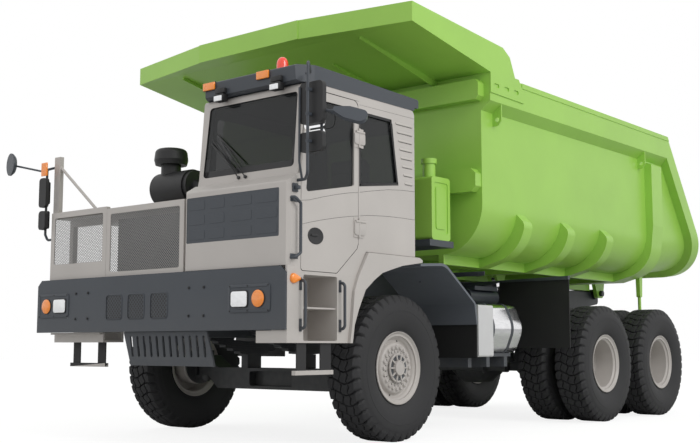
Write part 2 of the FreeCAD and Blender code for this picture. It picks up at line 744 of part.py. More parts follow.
def drive_axle(name, y):
    spindle_end = dual_x + 120
    low = d.dual_track / 2 - d.dual_pitch - 40
    nose_z = hub_z + d.nose_rise
    housing = turned(f"{name}_housing", [
        (-low, 0), (-low, d.rear_drum_radius - 10), (-low + 26, d.rear_drum_radius - 10),
        (-low + 26, d.axle_tube_radius), (-420, d.axle_tube_radius, 60),
        (-200, d.banjo_radius, 120), (200, d.banjo_radius, 120), (420, d.axle_tube_radius, 60),
        (low - 26, d.axle_tube_radius), (low - 26, d.rear_drum_radius - 10),
        (low, d.rear_drum_radius - 10), (low, 0)])
    place(housing, 0, y, hub_z)
    nose = drum(f"{name}_nose", "Y", d.nose_radius, y - d.nose_length, y, 0, nose_z)
    nose_flange = drum(f"{name}_nose_flange", "Y", d.nose_radius - 35, y - d.nose_length - 30,
                       y - d.nose_length, 0, nose_z)
    spindle = drum(f"{name}_spindle", "X", d.rear_bore - d.run_gap, -spindle_end, spindle_end, y, hub_z)
    pads = [brick(f"{name}_pad_{side}", side * d.axle_pad_x - half_width, side * d.axle_pad_x + half_width,
                  y - 120, y + 120, hub_z, d.spring_seat - d.pad_drop) for side in (-1, 1)]
    tail = drum(f"{name}_rear_outlet", "Y", d.nose_radius - 30, y, y + d.banjo_radius + 40, 0, nose_z)
    return fuse(f"{name}_axle", [housing, nose, nose_flange, spindle, *pads] + ([tail] if name == "mid" else []))


keep(group("drive_axles", [drive_axle("mid", mid_y), drive_axle("rear", rear_y)]))
gear_z = d.gearbox_height
nose_z = hub_z + d.nose_rise
shaft_end = mid_y - d.nose_length - 30 - d.seat_gap
shaft_start = d.gearbox_rear + d.seat_gap
fall = (gear_z - nose_z - 20) / (shaft_end - shaft_start)
main_bar = bar("main_shaft_bar", (0, shaft_start - 60, gear_z + 60 * fall),
               (0, shaft_end + 60, nose_z + 20 - 60 * fall), d.shaft_radius)
keep(group("propeller_shafts", [
    overlap_of("main_shaft", main_bar, brick("shaft_ends", -100, 100, shaft_start, shaft_end, 400, 1700)),
    bar("axle_shaft", (0, mid_y + d.banjo_radius + 40 + d.seat_gap, nose_z),
        (0, rear_y - d.nose_length - 30 - d.seat_gap, nose_z), d.shaft_radius)]))

# ---- frame -------------------------------------------------------------------------------

rail_inner = d.rail_outer - d.rail_width
tail_end = d.pivot_y + 120
rail_front = d.bumper_front + d.bumper_skin + d.seat_gap
rail_loop = [(rail_front, d.rail_bottom), (d.pivot_y - 550, d.rail_bottom), (d.pivot_y - 250, 1590),
             (tail_end, 1640, 60), (tail_end, d.rail_top, 60), (d.rail_kink_rear, d.rail_top),
             (d.rail_kink_front, d.rail_front_top), (rail_front, d.rail_front_top)]
hollow_top = d.rail_top - d.rail_plate
hollow_low = d.rail_bottom + d.rail_plate
rail_hollow = [(rail_front - 1, hollow_low), (d.pivot_y - 560, hollow_low), (d.pivot_y - 330, 1600),
               (d.pivot_y - 330, hollow_top), (d.rail_kink_rear + 5, hollow_top),
               (d.rail_kink_front + 5, d.rail_front_top - d.rail_plate),
               (rail_front - 1, d.rail_front_top - d.rail_plate)]
rail = plate("left_rail", "YZ_Plane", [rail_loop], rail_inner, d.rail_outer)
cut(rail, "YZ_Plane", [rail_hollow], rail_inner, d.rail_outer - d.rail_plate)
web = d.rail_outer - d.rail_plate / 2
cross = [drum(f"cross_tube_{i}", "X", d.cross_radius, -web, web, y, z) for i, (y, z) in enumerate((
    (1500, d.rail_bottom + 220), (2700, d.rail_bottom + 220),
    (trunnion_y, d.rail_bottom + 220), (rail_front + 120, d.rail_bottom + 110)))]
pivot_tube = drum("pivot_tube", "X", d.cross_radius, -web, web, d.pivot_y, d.pivot_z)
pivot_pins = drum("pivot_pins", "X", d.pivot_pin, -d.rail_outer - 150, d.rail_outer + 150,
                  d.pivot_y, d.pivot_z)
bosses = [drum(f"pivot_boss_{side}", "X", d.pivot_boss - 20, side * (d.rail_outer + 15) - 15,
               side * (d.rail_outer + 15) + 15, d.pivot_y, d.pivot_z) for side in (-1, 1)]
hoist_drop = plate("hoist_drop", "YZ_Plane", [[
    (d.hoist_low_y - 260, d.rail_bottom + 130), (d.hoist_low_y - 110, d.hoist_low_z - 90, 60),
    (d.hoist_low_y + 110, d.hoist_low_z - 90, 60), (d.hoist_low_y + 260, d.rail_bottom + 130)]],
    d.rail_outer, d.rail_outer + 26)
eye_half_width = d.eye_width / 2
hoist_tube = drum("hoist_tube", "X", 60, -d.hoist_x + eye_half_width + 4,
                  d.hoist_x - eye_half_width - 4, d.hoist_low_y, d.hoist_low_z)
hoist_pins = drum("hoist_pins", "X", d.eye_bore - d.run_gap, -d.hoist_x - eye_half_width - 16,
                  d.hoist_x + eye_half_width + 16, d.hoist_low_y, d.hoist_low_z)
keep(fuse("frame_rails", [rail, mirrored("right_rail", rail), *cross, pivot_tube, pivot_pins, *bosses,
                         hanger, mirrored("front_hangers_right", hanger),
                         hoist_drop, mirrored("hoist_drop_right", hoist_drop), hoist_tube, hoist_pins]))

# ---- bumper and guard ----------------------------------------------------------------------

half = d.bumper_half
skin_back = d.bumper_front + d.bumper_skin
bumper_back = d.bumper_front + d.bumper_depth
bumper_outline = both_sides([(half, d.bumper_low), (half, d.bumper_high - d.bumper_cut_z),
                             (half - d.bumper_cut_x, d.bumper_high)])
bumper = plate("bumper", "XZ_Plane", [bumper_outline], d.bumper_front, skin_back)
pad(bumper, "XZ_Plane", [box_loop(-d.bumper_box, d.bumper_box, d.bumper_low, d.bumper_high)],
    skin_back, bumper_back)
cut(bumper, "XZ_Plane", [box_loop(-d.bumper_box + 14, d.bumper_box - 14, d.bumper_low + 14,
                                  d.bumper_high - 14)], skin_back, bumper_back)
windows = [box_loop(side * (d.lamp_in + d.lamp_out) / 2 - (d.lamp_out - d.lamp_in) / 2,
                    side * (d.lamp_in + d.lamp_out) / 2 + (d.lamp_out - d.lamp_in) / 2,
                    d.lamp_low, d.lamp_high, 30) for side in (-1, 1)]
cut(bumper, "XZ_Plane", windows, d.bumper_front, skin_back)
slit = (d.vent_high - d.vent_low) / d.vent_slits
for i in range(3):
    middle = (i - 1) * d.vent_pitch - 180
    cut_row(bumper, "XZ_Plane", box_loop(middle - d.vent_width / 2, middle + d.vent_width / 2,
                                         d.vent_low + 7, d.vent_low + slit - 7, 12),
            d.bumper_front, skin_back, slit * (d.vent_slits - 1), d.vent_slits, "V_Axis")
keep(bumper)

lamp_mid = (d.lamp_in + d.lamp_out) / 2
lamp_half = (d.lamp_out - d.lamp_in) / 2 - d.seat_gap
tray = plate("lamp_tray", "XZ_Plane", [box_loop(lamp_mid - lamp_half, lamp_mid + lamp_half,
                                               d.lamp_low + d.seat_gap, d.lamp_high - d.seat_gap, 30)],
             d.bumper_front + 4, skin_back + 30)
cut(tray, "XZ_Plane", [box_loop(d.lamp_in + 34, d.lamp_in + 258, d.lamp_low + 42, d.lamp_high - 48, 20)],
    d.bumper_front + 4, skin_back)
cut(tray, "XZ_Plane", [], d.bumper_front + 4, skin_back,
    [(d.lamp_in + 386, (d.lamp_low + d.lamp_high) / 2 - 4, 80)])
lens = plate("square_lens", "XZ_Plane", [box_loop(d.lamp_in + 36, d.lamp_in + 256, d.lamp_low + 44,
                                                 d.lamp_high - 50, 20)],
             d.bumper_front + 6, skin_back - d.seat_gap)
turn_lamp = drum("turn_lens", "Y", 78, d.bumper_front - 10, skin_back - d.seat_gap,
                 d.lamp_in + 386, (d.lamp_low + d.lamp_high) / 2 - 4)
keep(pair("lamp_trays", tray), pair("lamps", group("lamps_left", [lens, turn_lamp])))

guard_drop = d.bumper_low - d.guard_low
guard = plate("skid_guard", "XZ_Plane", [[(-440, 0), (-375, -guard_drop), (853, -guard_drop), (790, 0)]],
              0, d.guard_thick)
first_slot = 207 - d.guard_half + 80
cut_row(guard, "XZ_Plane", box_loop(first_slot - d.slot_width / 2, first_slot + d.slot_width / 2,
                                    d.slot_low - d.bumper_low, -40, d.slot_width / 2 - 0.1),
        0, d.guard_thick, d.guard_half * 2 - 160, d.guard_slots)
guard.Placement = FreeCAD.Placement(FreeCAD.Vector(), FreeCAD.Rotation(FreeCAD.Vector(1, 0, 0), 8))
bind(guard, "Placement.Rotation.Angle", d.guard_lean)
place(guard, 0, d.bumper_front + 60, d.bumper_low - d.guard_seat)
keep(guard)

# ---- cab -----------------------------------------------------------------------------------

fit = d.seat_gap
cab_mid = (d.cab_inner + d.cab_outer) / 2
sill = d.cab_low + 25
lean = (d.screen_top_y - d.screen_low_y) / (d.screen_top_z - d.screen_low_z)
roof_y = d.screen_top_y + lean * (d.cab_roof_line - d.screen_top_z)


def cab_section(inset):
    """The cab's side outline, moved inwards by a wall thickness."""
    return [(d.cab_front + inset, d.bumper_high + 6 + inset),
            (d.cab_front + inset, d.nose_top - inset, 28), (d.shelf_y + inset, d.shelf_z - inset * 0.4),
            (d.screen_low_y + inset, d.screen_low_z), (roof_y + inset, d.cab_roof_line - inset, 60),
            (d.cab_rear - inset, d.cab_roof_line - inset, 60),
            (d.cab_rear - inset, d.cab_rear_low + inset),
            (d.arch_step_y - inset * 0.4, d.cab_rear_low + inset),
            (d.arch_foot_y - inset * 0.4, sill + inset), (bumper_back + 8 + inset, sill + inset),
            (bumper_back + 8 + inset, d.bumper_high + 6 + inset)]


def cab_plan(inset, nose_half, corner):
    """The cab's outline from above, with splayed front corners."""
    return [(d.cab_inner + inset, d.cab_rear - inset), (d.cab_inner + inset, d.cab_front + corner),
            (cab_mid - nose_half + inset * 0.4, d.cab_front - 1 + inset),
            (cab_mid + nose_half - inset * 0.4, d.cab_front - 1 + inset),
            (d.cab_outer - inset, d.cab_front + corner), (d.cab_outer - inset, d.cab_rear - inset)]


cab_half = (d.cab_outer - d.cab_inner) / 2
solids = []
for name, inset in (("outer", 0), ("inner", d.cab_wall)):
    side = plate(f"cab_{name}_side", "YZ_Plane", [cab_section(inset)], d.cab_inner - 5, d.cab_outer + 5)
    low_plan = plate(f"cab_{name}_nose", "XY_Plane", [cab_plan(inset, cab_half - 30, 30)],
                     sill - 10, d.shelf_z)
    high_plan = plate(f"cab_{name}_top", "XY_Plane", [cab_plan(inset, d.screen_half, 290)],
                      d.shelf_z, d.cab_roof_line + 10)
    solids.append(overlap_of(f"cab_{name}", side, fuse(f"cab_{name}_plan", [low_plan, high_plan])))

door_loop = [(d.door_front, d.door_low, 30), (-1190, d.door_low, 40), (-892, d.door_low + 247, 40),
             (d.door_rear, d.door_low + 300), (d.door_rear, d.door_high, 70),
             (d.door_front + 86, d.door_high, 30), (d.door_front, d.shelf_z + 20)]


def grown(loop, gap):
    """The door's outline moved outwards by the gap all round."""
    fore, aft = -gap, gap
    moves = [(fore, fore), (aft * 0.4, fore), (aft, fore * 0.4), (aft, 0), (aft, aft), (fore, aft), (fore, 0)]
    return [(c[0] + m[0], c[1] + m[1]) + tuple(c[2:]) for c, m in zip(loop, moves)]


glass_loops = {
    "door": [(-1625, 2372, 30), (-933, 2504, 30), (-925, 3262, 60), (-1545, 3262, 60)],
    "quarter": [(-826, 2522, 30), (-230, 2606, 40), (-322, 3243, 60), (-826, 3250, 30)],
}
screen_loop = [(cab_mid - d.screen_half + 15, d.screen_low_z + 6, 40),
               (cab_mid + d.screen_half - 15, d.screen_low_z + 6, 40),
               (cab_mid + d.screen_half - 31, d.screen_top_z - 6, 40),
               (cab_mid - d.screen_half + 31, d.screen_top_z - 6, 40)]
rear_loop = [(cab_mid - 480, 2620, 60), (cab_mid + 480, 2620, 60), (cab_mid + 480, 3200, 60),
             (cab_mid - 480, 3200, 60)]
tools = [
    plate("door_hole", "YZ_Plane", [grown(door_loop, d.door_gap)], d.cab_outer - 90, d.cab_outer + 5),
    plate("quarter_hole", "YZ_Plane", [glass_loops["quarter"]], d.cab_outer - 90, d.cab_outer + 5),
    plate("right_hole", "YZ_Plane", [[(-1500, 2440, 60), (-230, 2606, 40), (-322, 3243, 60),
                                      (-1480, 3262, 60)]], d.cab_inner - 5, d.cab_inner + 90),
    plate("screen_hole", "XZ_Plane", [screen_loop], -1800, -1500),
    plate("rear_hole", "XZ_Plane", [rear_loop], d.cab_rear - 90, d.cab_rear + 5),
    plate("nose_recess", "XZ_Plane", [box_loop(d.nose_panel_in, d.nose_panel_out, d.nose_panel_low,
                                               d.nose_panel_high, 14)], d.cab_front, d.cab_front + 16)]
cab = carve("cab_hollow", solids[0], solids[1])
cab = carve("cab_open", cab, fuse("cab_holes", tools))


def hinge_leaf(label, y0, y1, z0, z1, barrels):
    """A flat leaf on the cab's side with its barrels about the hinge line."""
    bits = [brick(f"{label}_leaf", d.cab_outer, d.cab_outer + 7, y0, y1, z0, z1)]
    bits += [drum(f"{label}_barrel_{i}", "Z", d.hinge_barrel, low, high, d.hinge_x, d.hinge_y)
             for i, (low, high) in enumerate(barrels)]
    return bits


fixed = []
swinging = []
for i, low in enumerate((d.hinge_low, d.hinge_high)):
    third = d.hinge_length / 3
    high = low + d.hinge_length
    fixed += hinge_leaf(f"fixed_{i}", d.hinge_y, d.hinge_y + 72, low, high,
                        [(low, low + third - 1), (high - third + 1, high)])
    fixed.append(drum(f"hinge_pin_{i}", "Z", d.hinge_pin, low, high, d.hinge_x, d.hinge_y))
    swinging += hinge_leaf(f"swinging_{i}", d.hinge_y - 72, d.hinge_y - d.hinge_barrel - 2, low, high, [])
    swinging.append(brick(f"swinging_arm_{i}", d.cab_outer, d.cab_outer + 7,
                          d.hinge_y - d.hinge_barrel - 3, d.hinge_y, low + third, high - third))
    swinging += [drum(f"swinging_barrel_{i}", "Z", d.hinge_barrel, low + third, high - third,
                      d.hinge_x, d.hinge_y)]
hinge_gap = [drum(f"hinge_bore_{i}", "Z", d.hinge_pin + fit, low - 5, low + d.hinge_length + 5,
                  d.hinge_x, d.hinge_y) for i, low in enumerate((d.hinge_low, d.hinge_high))]
middle_room = [brick(f"hinge_room_{i}", d.cab_outer - 1, d.cab_outer + 30, d.hinge_y - 30, d.hinge_y + d.hinge_barrel + 2,
                     low + third - 1, low + d.hinge_length - third + 1)
               for i, low in enumerate((d.hinge_low, d.hinge_high))]
leaves = carve("fixed_leaves", fuse("fixed_leaves_whole", fixed), fuse("hinge_rooms", middle_room))
pins = [drum(f"hinge_core_{i}", "Z", d.hinge_pin, low + 1, low + d.hinge_length - 1, d.hinge_x, d.hinge_y)
        for i, low in enumerate((d.hinge_low, d.hinge_high))]
keep(fuse("cab_shell", [cab, leaves, *pins]))


def shrunk(loop, gap):
    """A four-cornered outline moved inwards by the gap, its corners kept round."""
    moves = [(gap, gap), (-gap, gap), (-gap, -gap), (gap, -gap)]
    return [(c[0] + m[0], c[1] + m[1]) + tuple(c[2:]) for c, m in zip(loop, moves)]


door = plate("door_panel", "YZ_Plane", [door_loop], d.cab_outer - 48, d.cab_outer)
cut(door, "YZ_Plane", [glass_loops["door"]], d.cab_outer - 48, d.cab_outer)
cut(door, "YZ_Plane", [[(-1660, d.door_low + 60, 30), (-1200, d.door_low + 60, 40),
                        (-925, d.door_low + 290, 40), (-905, 2400, 40), (-1650, 2280, 40)]],
    d.cab_outer - 48, d.cab_outer - 22)
swing = carve("door_hinges", fuse("door_hinges_whole", swinging), fuse("hinge_bores", hinge_gap))
keep(fuse("cab_door", [door, swing]))
screen_slab = plate("screen_slab", "YZ_Plane", [[
    (d.screen_low_y + 12 - lean * 40, d.screen_low_z - 40), (roof_y + 12, d.cab_roof_line),
    (roof_y + 12 + d.glass_thick, d.cab_roof_line),
    (d.screen_low_y + 12 + d.glass_thick - lean * 40, d.screen_low_z - 40)]],
    d.cab_inner, d.cab_outer)
screen_edge = plate("screen_edge", "XZ_Plane", [shrunk(screen_loop, fit)], -1800, -1500)
keep(plate("door_glass", "YZ_Plane", [shrunk(glass_loops["door"], fit)],
           d.cab_outer - 30, d.cab_outer - 30 + d.glass_thick))
keep(group("cab_windows", [
    overlap_of("windscreen", screen_slab, screen_edge),
    plate("quarter_glass", "YZ_Plane", [shrunk(glass_loops["quarter"], fit)],
          d.cab_outer - 30, d.cab_outer - 30 + d.glass_thick),
    plate("right_glass", "YZ_Plane", [shrunk([(-1500, 2440, 60), (-230, 2606, 40), (-322, 3243, 60),
                                              (-1480, 3262, 60)], fit)],
          d.cab_inner + 18, d.cab_inner + 18 + d.glass_thick),
    plate("rear_glass", "XZ_Plane", [shrunk(rear_loop, fit)], d.cab_rear - 30,
          d.cab_rear - 30 + d.glass_thick)]))

insert = plate("nose_panel", "XZ_Plane", [
    box_loop(d.nose_panel_in + fit, d.nose_panel_out - fit, d.nose_panel_low + fit,
             d.nose_panel_high - fit, 14)], d.cab_front + 2, d.cab_front + 16 - fit)
keep(insert)

roof = plate("cab_roof", "YZ_Plane", [[
    (d.visor_y, d.cab_roof_line + 16), (d.visor_y - 12, d.cab_roof_line + 160, 20),
    (-1480, d.cab_roof_line + 168, 60), (d.cab_rear + d.roof_over, d.cab_roof_line + 128, 30),
    (d.cab_rear + d.roof_over, d.cab_roof_line + 34, 20), (d.cab_rear + 4, d.cab_roof_line + 34),
    (d.cab_rear - 8, d.cab_roof_line + fit), (d.visor_y + 50, d.cab_roof_line + fit)]],
    d.cab_inner - 6, d.cab_outer + 6)
cut(roof, "XY_Plane", [[(cab_mid + side * 600, d.visor_y - 20), (cab_mid + side * 720, d.visor_y - 20),
                        (cab_mid + side * 720, -1480)] for side in (-1, 1)],
    d.cab_roof_line - 5, d.cab_roof_line + 200)
keep(roof)

# ---- cab entry ------------------------------------------------------------------------------

arch_edge = [(d.entry_rear, d.entry_low), (-963, 1168), (-903, 1312), (-796, 1507), (-656, 1610),
             (-528, 1685), (-349, 1734), (-199, 1773), (146, 1824)]
entry_top = sill - fit
entry_panel = plate("entry_panel", "YZ_Plane", [[
    (d.entry_front, d.entry_low), *arch_edge, (146, 1850), (94, d.cab_rear_low - fit - 8),
    (d.arch_step_y + 2, d.cab_rear_low - fit - 8), (d.arch_foot_y + 2, entry_top),
    (bumper_back + 8 - fit, entry_top), (bumper_back + 8 - fit, d.bumper_high + 5),
    (d.entry_front, d.bumper_high + 5)]], d.cab_outer - 22, d.cab_outer)
hole = [box_loop(d.step_front, d.step_rear, d.entry_low + 19, d.entry_low + 616, 20)]
cut(entry_panel, "YZ_Plane", hole, d.cab_outer - 22, d.cab_outer)
flange = plate("arch_flange", "YZ_Plane", [[
    *arch_edge, (146, 1850), (94, d.cab_rear_low - fit - 8), (d.arch_step_y + 2, d.cab_rear_low - fit - 8),
    (d.arch_foot_y + 2, entry_top), (d.entry_rear + 30, entry_top - 140), (d.entry_rear - 6, 1168),
    (d.entry_rear - 36, d.entry_low)]], d.cab_outer, d.cab_outer + 34)
step_wall = 15
step_tub = plate("step_tub", "YZ_Plane", [box_loop(d.step_front - step_wall, d.step_rear + step_wall,
                                                   d.entry_low + 4, d.entry_low + 631)],
                 d.cab_outer - d.step_depth, d.cab_outer - 22)
cut(step_tub, "YZ_Plane", [box_loop(d.step_front, d.step_rear, d.entry_low + 19, d.entry_low + 310),
                           box_loop(d.step_front, d.step_rear, d.entry_low + 325, d.entry_low + 616)],
    d.cab_outer - d.step_depth + step_wall, d.cab_outer - 22)
front_plate = brick("entry_front", d.cab_outer - d.step_depth, d.cab_outer - 22, d.entry_front,
                    d.entry_front + 15, d.entry_low, d.bumper_low - 6)
keep(fuse("step_box", [entry_panel, flange, step_tub, front_plate]))

strap = [box_loop(-1715, -1590, d.ladder_low, d.entry_low - fit),
         box_loop(-1395, -1245, d.ladder_low, d.entry_low - fit)]
left_straps = plate("left_straps", "YZ_Plane", strap, d.cab_outer - 34, d.cab_outer - 22)
left_rung = brick("left_rung", d.cab_outer - 60, d.cab_outer - 14, -1740, -1220, d.ladder_low - 40,
                  d.ladder_low)
right_straps = plate("right_straps", "XZ_Plane", [box_loop(-1570, -1450, d.ladder_low + 40, 1010),
                                                 box_loop(-1140, -1010, d.ladder_low + 40, 1010)],
                     -1612, -1600)
right_rung = brick("right_rung", -1600, -990, -1630, -1585, d.ladder_low, d.ladder_low + 40)
right_tray = plate("right_tray", "YZ_Plane", [[(-1740, 1010), (-1470, 1010), (-1470, 1125), (-1490, 1125),
                                              (-1490, 1030), (-1720, 1030), (-1720, d.bumper_low - fit),
                                              (-1790, d.bumper_low - fit), (-1790, 1094), (-1740, 1094)]],
                   -1750, -890)
keep(group("step_ladders", [fuse("left_ladder", [left_straps, left_rung]),
                            fuse("right_ladder", [right_straps, right_rung, right_tray])]))

# ---- front panels and right deck --------------------------------------------------------------

panel_low = d.bumper_high + fit
panels = []
for name, x0, x1, top in (("right_panel", -d.panel_outer, -d.panel_split, d.panel_top + 25),
                          ("grille_panel", -d.panel_split + 3, d.cab_inner - 15, d.panel_top)):
    border = 62
    sheet_body = plate(name, "XZ_Plane", [box_loop(x0, x1, panel_low, top, 8)], d.panel_front,
                       d.panel_front + d.panel_depth)
    cut(sheet_body, "XZ_Plane", [box_loop(x0 + 14, x1 - 14, panel_low + 14, top - 14)],
        d.panel_front + 12, d.panel_front + d.panel_depth)
    window = box_loop(x0 + border, x1 - border, panel_low + (170 if x0.value < -1000 else 50),
                      top - border, 24)
    cut(sheet_body, "XZ_Plane", [window], d.panel_front, d.panel_front + 12)
    panels.append(sheet_body)
keep(group("front_panels", panels))
mesh_right = plate("right_screen", "XZ_Plane", [
    box_loop(-d.panel_outer + 62 + fit, -d.panel_split - 62 - fit, panel_low + 170 + fit,
             d.panel_top + 25 - 62 - fit, 23.7)], d.panel_front + 5, d.panel_front + 9)
mesh_left = plate("grille_screen", "XZ_Plane", [
    box_loop(-d.panel_split + 65 + fit, d.cab_inner - 77 - fit, panel_low + 50 + fit,
             d.panel_top - 62 - fit, 23.7)], d.panel_front + 5, d.panel_front + 9)
MESH = [(mesh_right, -d.panel_outer + 62, -d.panel_split - 62, panel_low + 170, d.panel_top - 37),
        (mesh_left, -d.panel_split + 65, d.cab_inner - 77, panel_low + 50, d.panel_top - 62)]
for mesh, x0, x1, z0, z1 in MESH:
    across = (x1 - x0) / d.mesh_columns
    cut_row(mesh, "XZ_Plane", box_loop(x0 + across * 0.25, x0 + across * 0.8, z0 + 14, z1 - 14),
            d.panel_front + 5, d.panel_front + 9, (x1 - x0) - across, d.mesh_columns)
keep(group("panel_screens", [mesh_right, mesh_left]))

deck_low = d.deck_top - 20
deck = plate("deck_plate", "XY_Plane", [box_loop(-d.panel_outer + 10, d.cab_inner - 30,
                                                d.panel_front + d.panel_depth + 4, d.deck_rear)],
             deck_low, d.deck_top)
deck_bits = [deck]
for i, y in enumerate((d.panel_front + 240, d.deck_rear - 140)):
    deck_bits.append(brick(f"deck_beam_{i}", -d.panel_outer + 10, d.cab_inner - 30, y, y + 60,
                           deck_low - 70, deck_low))
    for side in (-1, 1):
        foot = side * (d.rail_outer - d.rail_width / 2)
        deck_bits.append(brick(f"deck_leg_{i}_{side}", foot - 35, foot + 35, y, y + 60,
                               d.rail_front_top + fit, deck_low - 70))
deck_bits.append(brick("deck_front_leg", -d.panel_outer + 10, -d.panel_outer + 70,
                       d.panel_front + 240, d.panel_front + 300, d.entry_low + 440, deck_low - 70))
post = brick("deck_post", -d.panel_outer + 10 - 60, -d.panel_outer + 50, d.panel_front + d.panel_depth + 6,
             d.panel_front + d.panel_depth + 56, d.deck_top, d.post_top)
brace = bar("post_brace", (-d.panel_outer + 40, d.panel_front + d.panel_depth + 30, d.post_top - 120),
            (-980, d.panel_front + d.panel_depth + 30, d.deck_top + 14), 16)
foot = brick("brace_foot", -1020, -940, d.panel_front + d.panel_depth + 6,
             d.panel_front + d.panel_depth + 56, d.deck_top + fit, d.deck_top + 16)
keep(fuse("right_deck", [*deck_bits, post, brace, foot]))

# ---- engine, cooling, air cleaner ---------------------------------------------------------------

block = plate("engine_block", "XZ_Plane", [both_sides([
    (150, d.engine_low, 30), (220, 1240), (240, 1500), (330, 1640, 30), (330, 2050, 30),
    (230, d.engine_high, 30)])], d.engine_front, d.engine_rear)
feet = [brick(f"engine_foot_{side}_{y}", side * 375 - 75, side * 375 + 75, y, y + 120,
              d.rail_front_top + fit, d.rail_front_top + 26) for side in (-1, 1) for y in (-1100, -100)]
housing = drum("bell_housing", "Y", 290, d.engine_rear, d.engine_rear + 220, 0, d.gearbox_height + 90)
gearbox = drum("gearbox", "Y", 230, d.engine_rear + 220, d.gearbox_rear - 40, 0, d.gearbox_height)
outlet = drum("gearbox_outlet", "Y", 95, d.gearbox_rear - 40, d.gearbox_rear, 0, d.gearbox_height)
keep(fuse("engine", [block, *feet, housing, gearbox, outlet]))
radiator = brick("radiator_core", -d.panel_split + 90, d.cab_inner - 110, d.panel_front + d.panel_depth + 40,
                 d.panel_front + d.panel_depth + 170, d.bumper_high + 20, deck_low - 75)
foot_rail = brick("radiator_foot", -440, 440, d.panel_front + d.panel_depth + 50,
                  d.panel_front + d.panel_depth + 150, d.rail_front_top + fit, d.bumper_high + 20)
keep(fuse("radiator", [radiator, foot_rail]))

canister = drum("cleaner_body", "X", d.cleaner_radius, -d.cleaner_out + 60, -d.cleaner_in, d.cleaner_y,
                d.cleaner_z)
end_cap = drum("cleaner_cap", "X", d.cleaner_radius - 18, -d.cleaner_in, -d.cleaner_in + 60, d.cleaner_y,
               d.cleaner_z)
intake = drum("cleaner_neck", "Z", 120, d.cleaner_z, d.cleaner_z + d.cleaner_radius + 110,
              -(d.cleaner_out + d.cleaner_in) / 2 - 100, d.cleaner_y)
hood = new_body("cleaner_hood")
hood_sketch = draw(hood, "XZ_Plane", [[(0, 0), (190, 0), (205, 60), (190, 190, 60), (0, 220)]])
hood_turn = hood.newObject("PartDesign::Revolution", "hood_turn")
hood_turn.Profile = hood_sketch
hood_turn.ReferenceAxis = (origin_part(hood, "Z_Axis"), [""])
place(hood, -(d.cleaner_out + d.cleaner_in) / 2 - 100, d.cleaner_y, d.cleaner_z + d.cleaner_radius + 90)
stand = plate("cleaner_stand", "XZ_Plane", [[
    (-d.cleaner_out + 90, d.deck_top + fit), (-d.cleaner_in - 60, d.deck_top + fit),
    (-d.cleaner_in - 60, d.cleaner_z), (-d.cleaner_out + 90, d.cleaner_z)]],
    d.cleaner_y - 130, d.cleaner_y + 130)
duct = bar("cleaner_duct", (-d.cleaner_in + 20, d.cleaner_y, d.cleaner_z),
           (-430, d.cleaner_y - 10, d.deck_top + 125), 90)
duct_foot = drum("duct_foot", "Z", 120, d.deck_top + fit, d.deck_top + 190, -430, d.cleaner_y - 10)
keep(fuse("air_cleaner", [canister, end_cap, intake, hood, stand, duct, duct_foot]))

# ---- tanks, brackets and guards along the sides --------------------------------------------------

tank_mid = (d.tank_low + d.tank_high) / 2
tank_half = (d.tank_high - d.tank_low) / 2
tank_section = [(d.rail_outer + 330, d.tank_low, 60), (d.tank_outer - 120, d.tank_low, 110),
                (d.tank_outer, tank_mid, 260), (d.tank_outer - 120, d.tank_high, 110),
                (d.rail_outer + 330, d.tank_high, 60)]
tank = plate("fuel_tank", "XZ_Plane", [tank_section], d.tank_front, d.tank_rear)
end_box = plate("tank_end_box", "XZ_Plane", [box_loop(d.rail_outer + 340, d.tank_outer, d.tank_low - 42,
                                                     d.tank_high - 30, 24)],
                d.tank_front - 320, d.tank_front - 6)
cradle_z = d.tank_low - 42
keep(tank, end_box)
cradle = [plate(f"cradle_{i}", "XZ_Plane", [[
    (d.rail_outer, d.rail_bottom + 160), (d.rail_outer, d.rail_bottom - 60), (d.rail_outer + 250, cradle_z - 120),
    (d.tank_outer - 160, cradle_z - 120), (d.tank_outer - 160, cradle_z - fit), (d.rail_outer + 318, cradle_z - fit),
    (d.rail_outer + 318, d.rail_bottom + 60), (d.rail_outer + 120, d.rail_bottom + 160)]], y, y + 70)
    for i, y in enumerate((d.tank_front - 300, d.tank_front + 90, d.tank_rear - 190))]
shelf = brick("cradle_shelf", d.rail_outer + 318, d.tank_outer - 160, d.tank_front + 40, d.tank_rear - 40,
              cradle_z - fit, d.tank_low - fit)
tank_cradle = fuse("tank_cradle", [*cradle, shelf])
bottle = drum("reservoir_one", "Y", 88, d.tank_front + 20, d.tank_rear - 30, 1300,
              d.tank_high + 88 + fit)
bottle_saddle = brick("reservoir_saddle", 1200, 1400, d.tank_front + 80, d.tank_rear - 90,
                      d.tank_high + 165, d.tank_high + 212)
right_bottles = [drum(f"reservoir_right_{i}", "Y", 120, 1500, 2500, -d.rail_outer - 240 - 260 * i,
                      d.rail_bottom - 60) for i in range(2)]
right_hangers = [plate(f"reservoir_hanger_{i}", "XZ_Plane", [[
    (-d.rail_outer, d.rail_bottom + 140), (-d.rail_outer - 700, d.rail_bottom + 140),
    (-d.rail_outer - 700, d.rail_bottom + 60 + fit), (-d.rail_outer, d.rail_bottom + 60 + fit)]], y, y + 50)
    for i, y in enumerate((1650, 2300))]
keep(group("air_reservoirs", [fuse("left_reservoir", [bottle, bottle_saddle]), *right_bottles]))

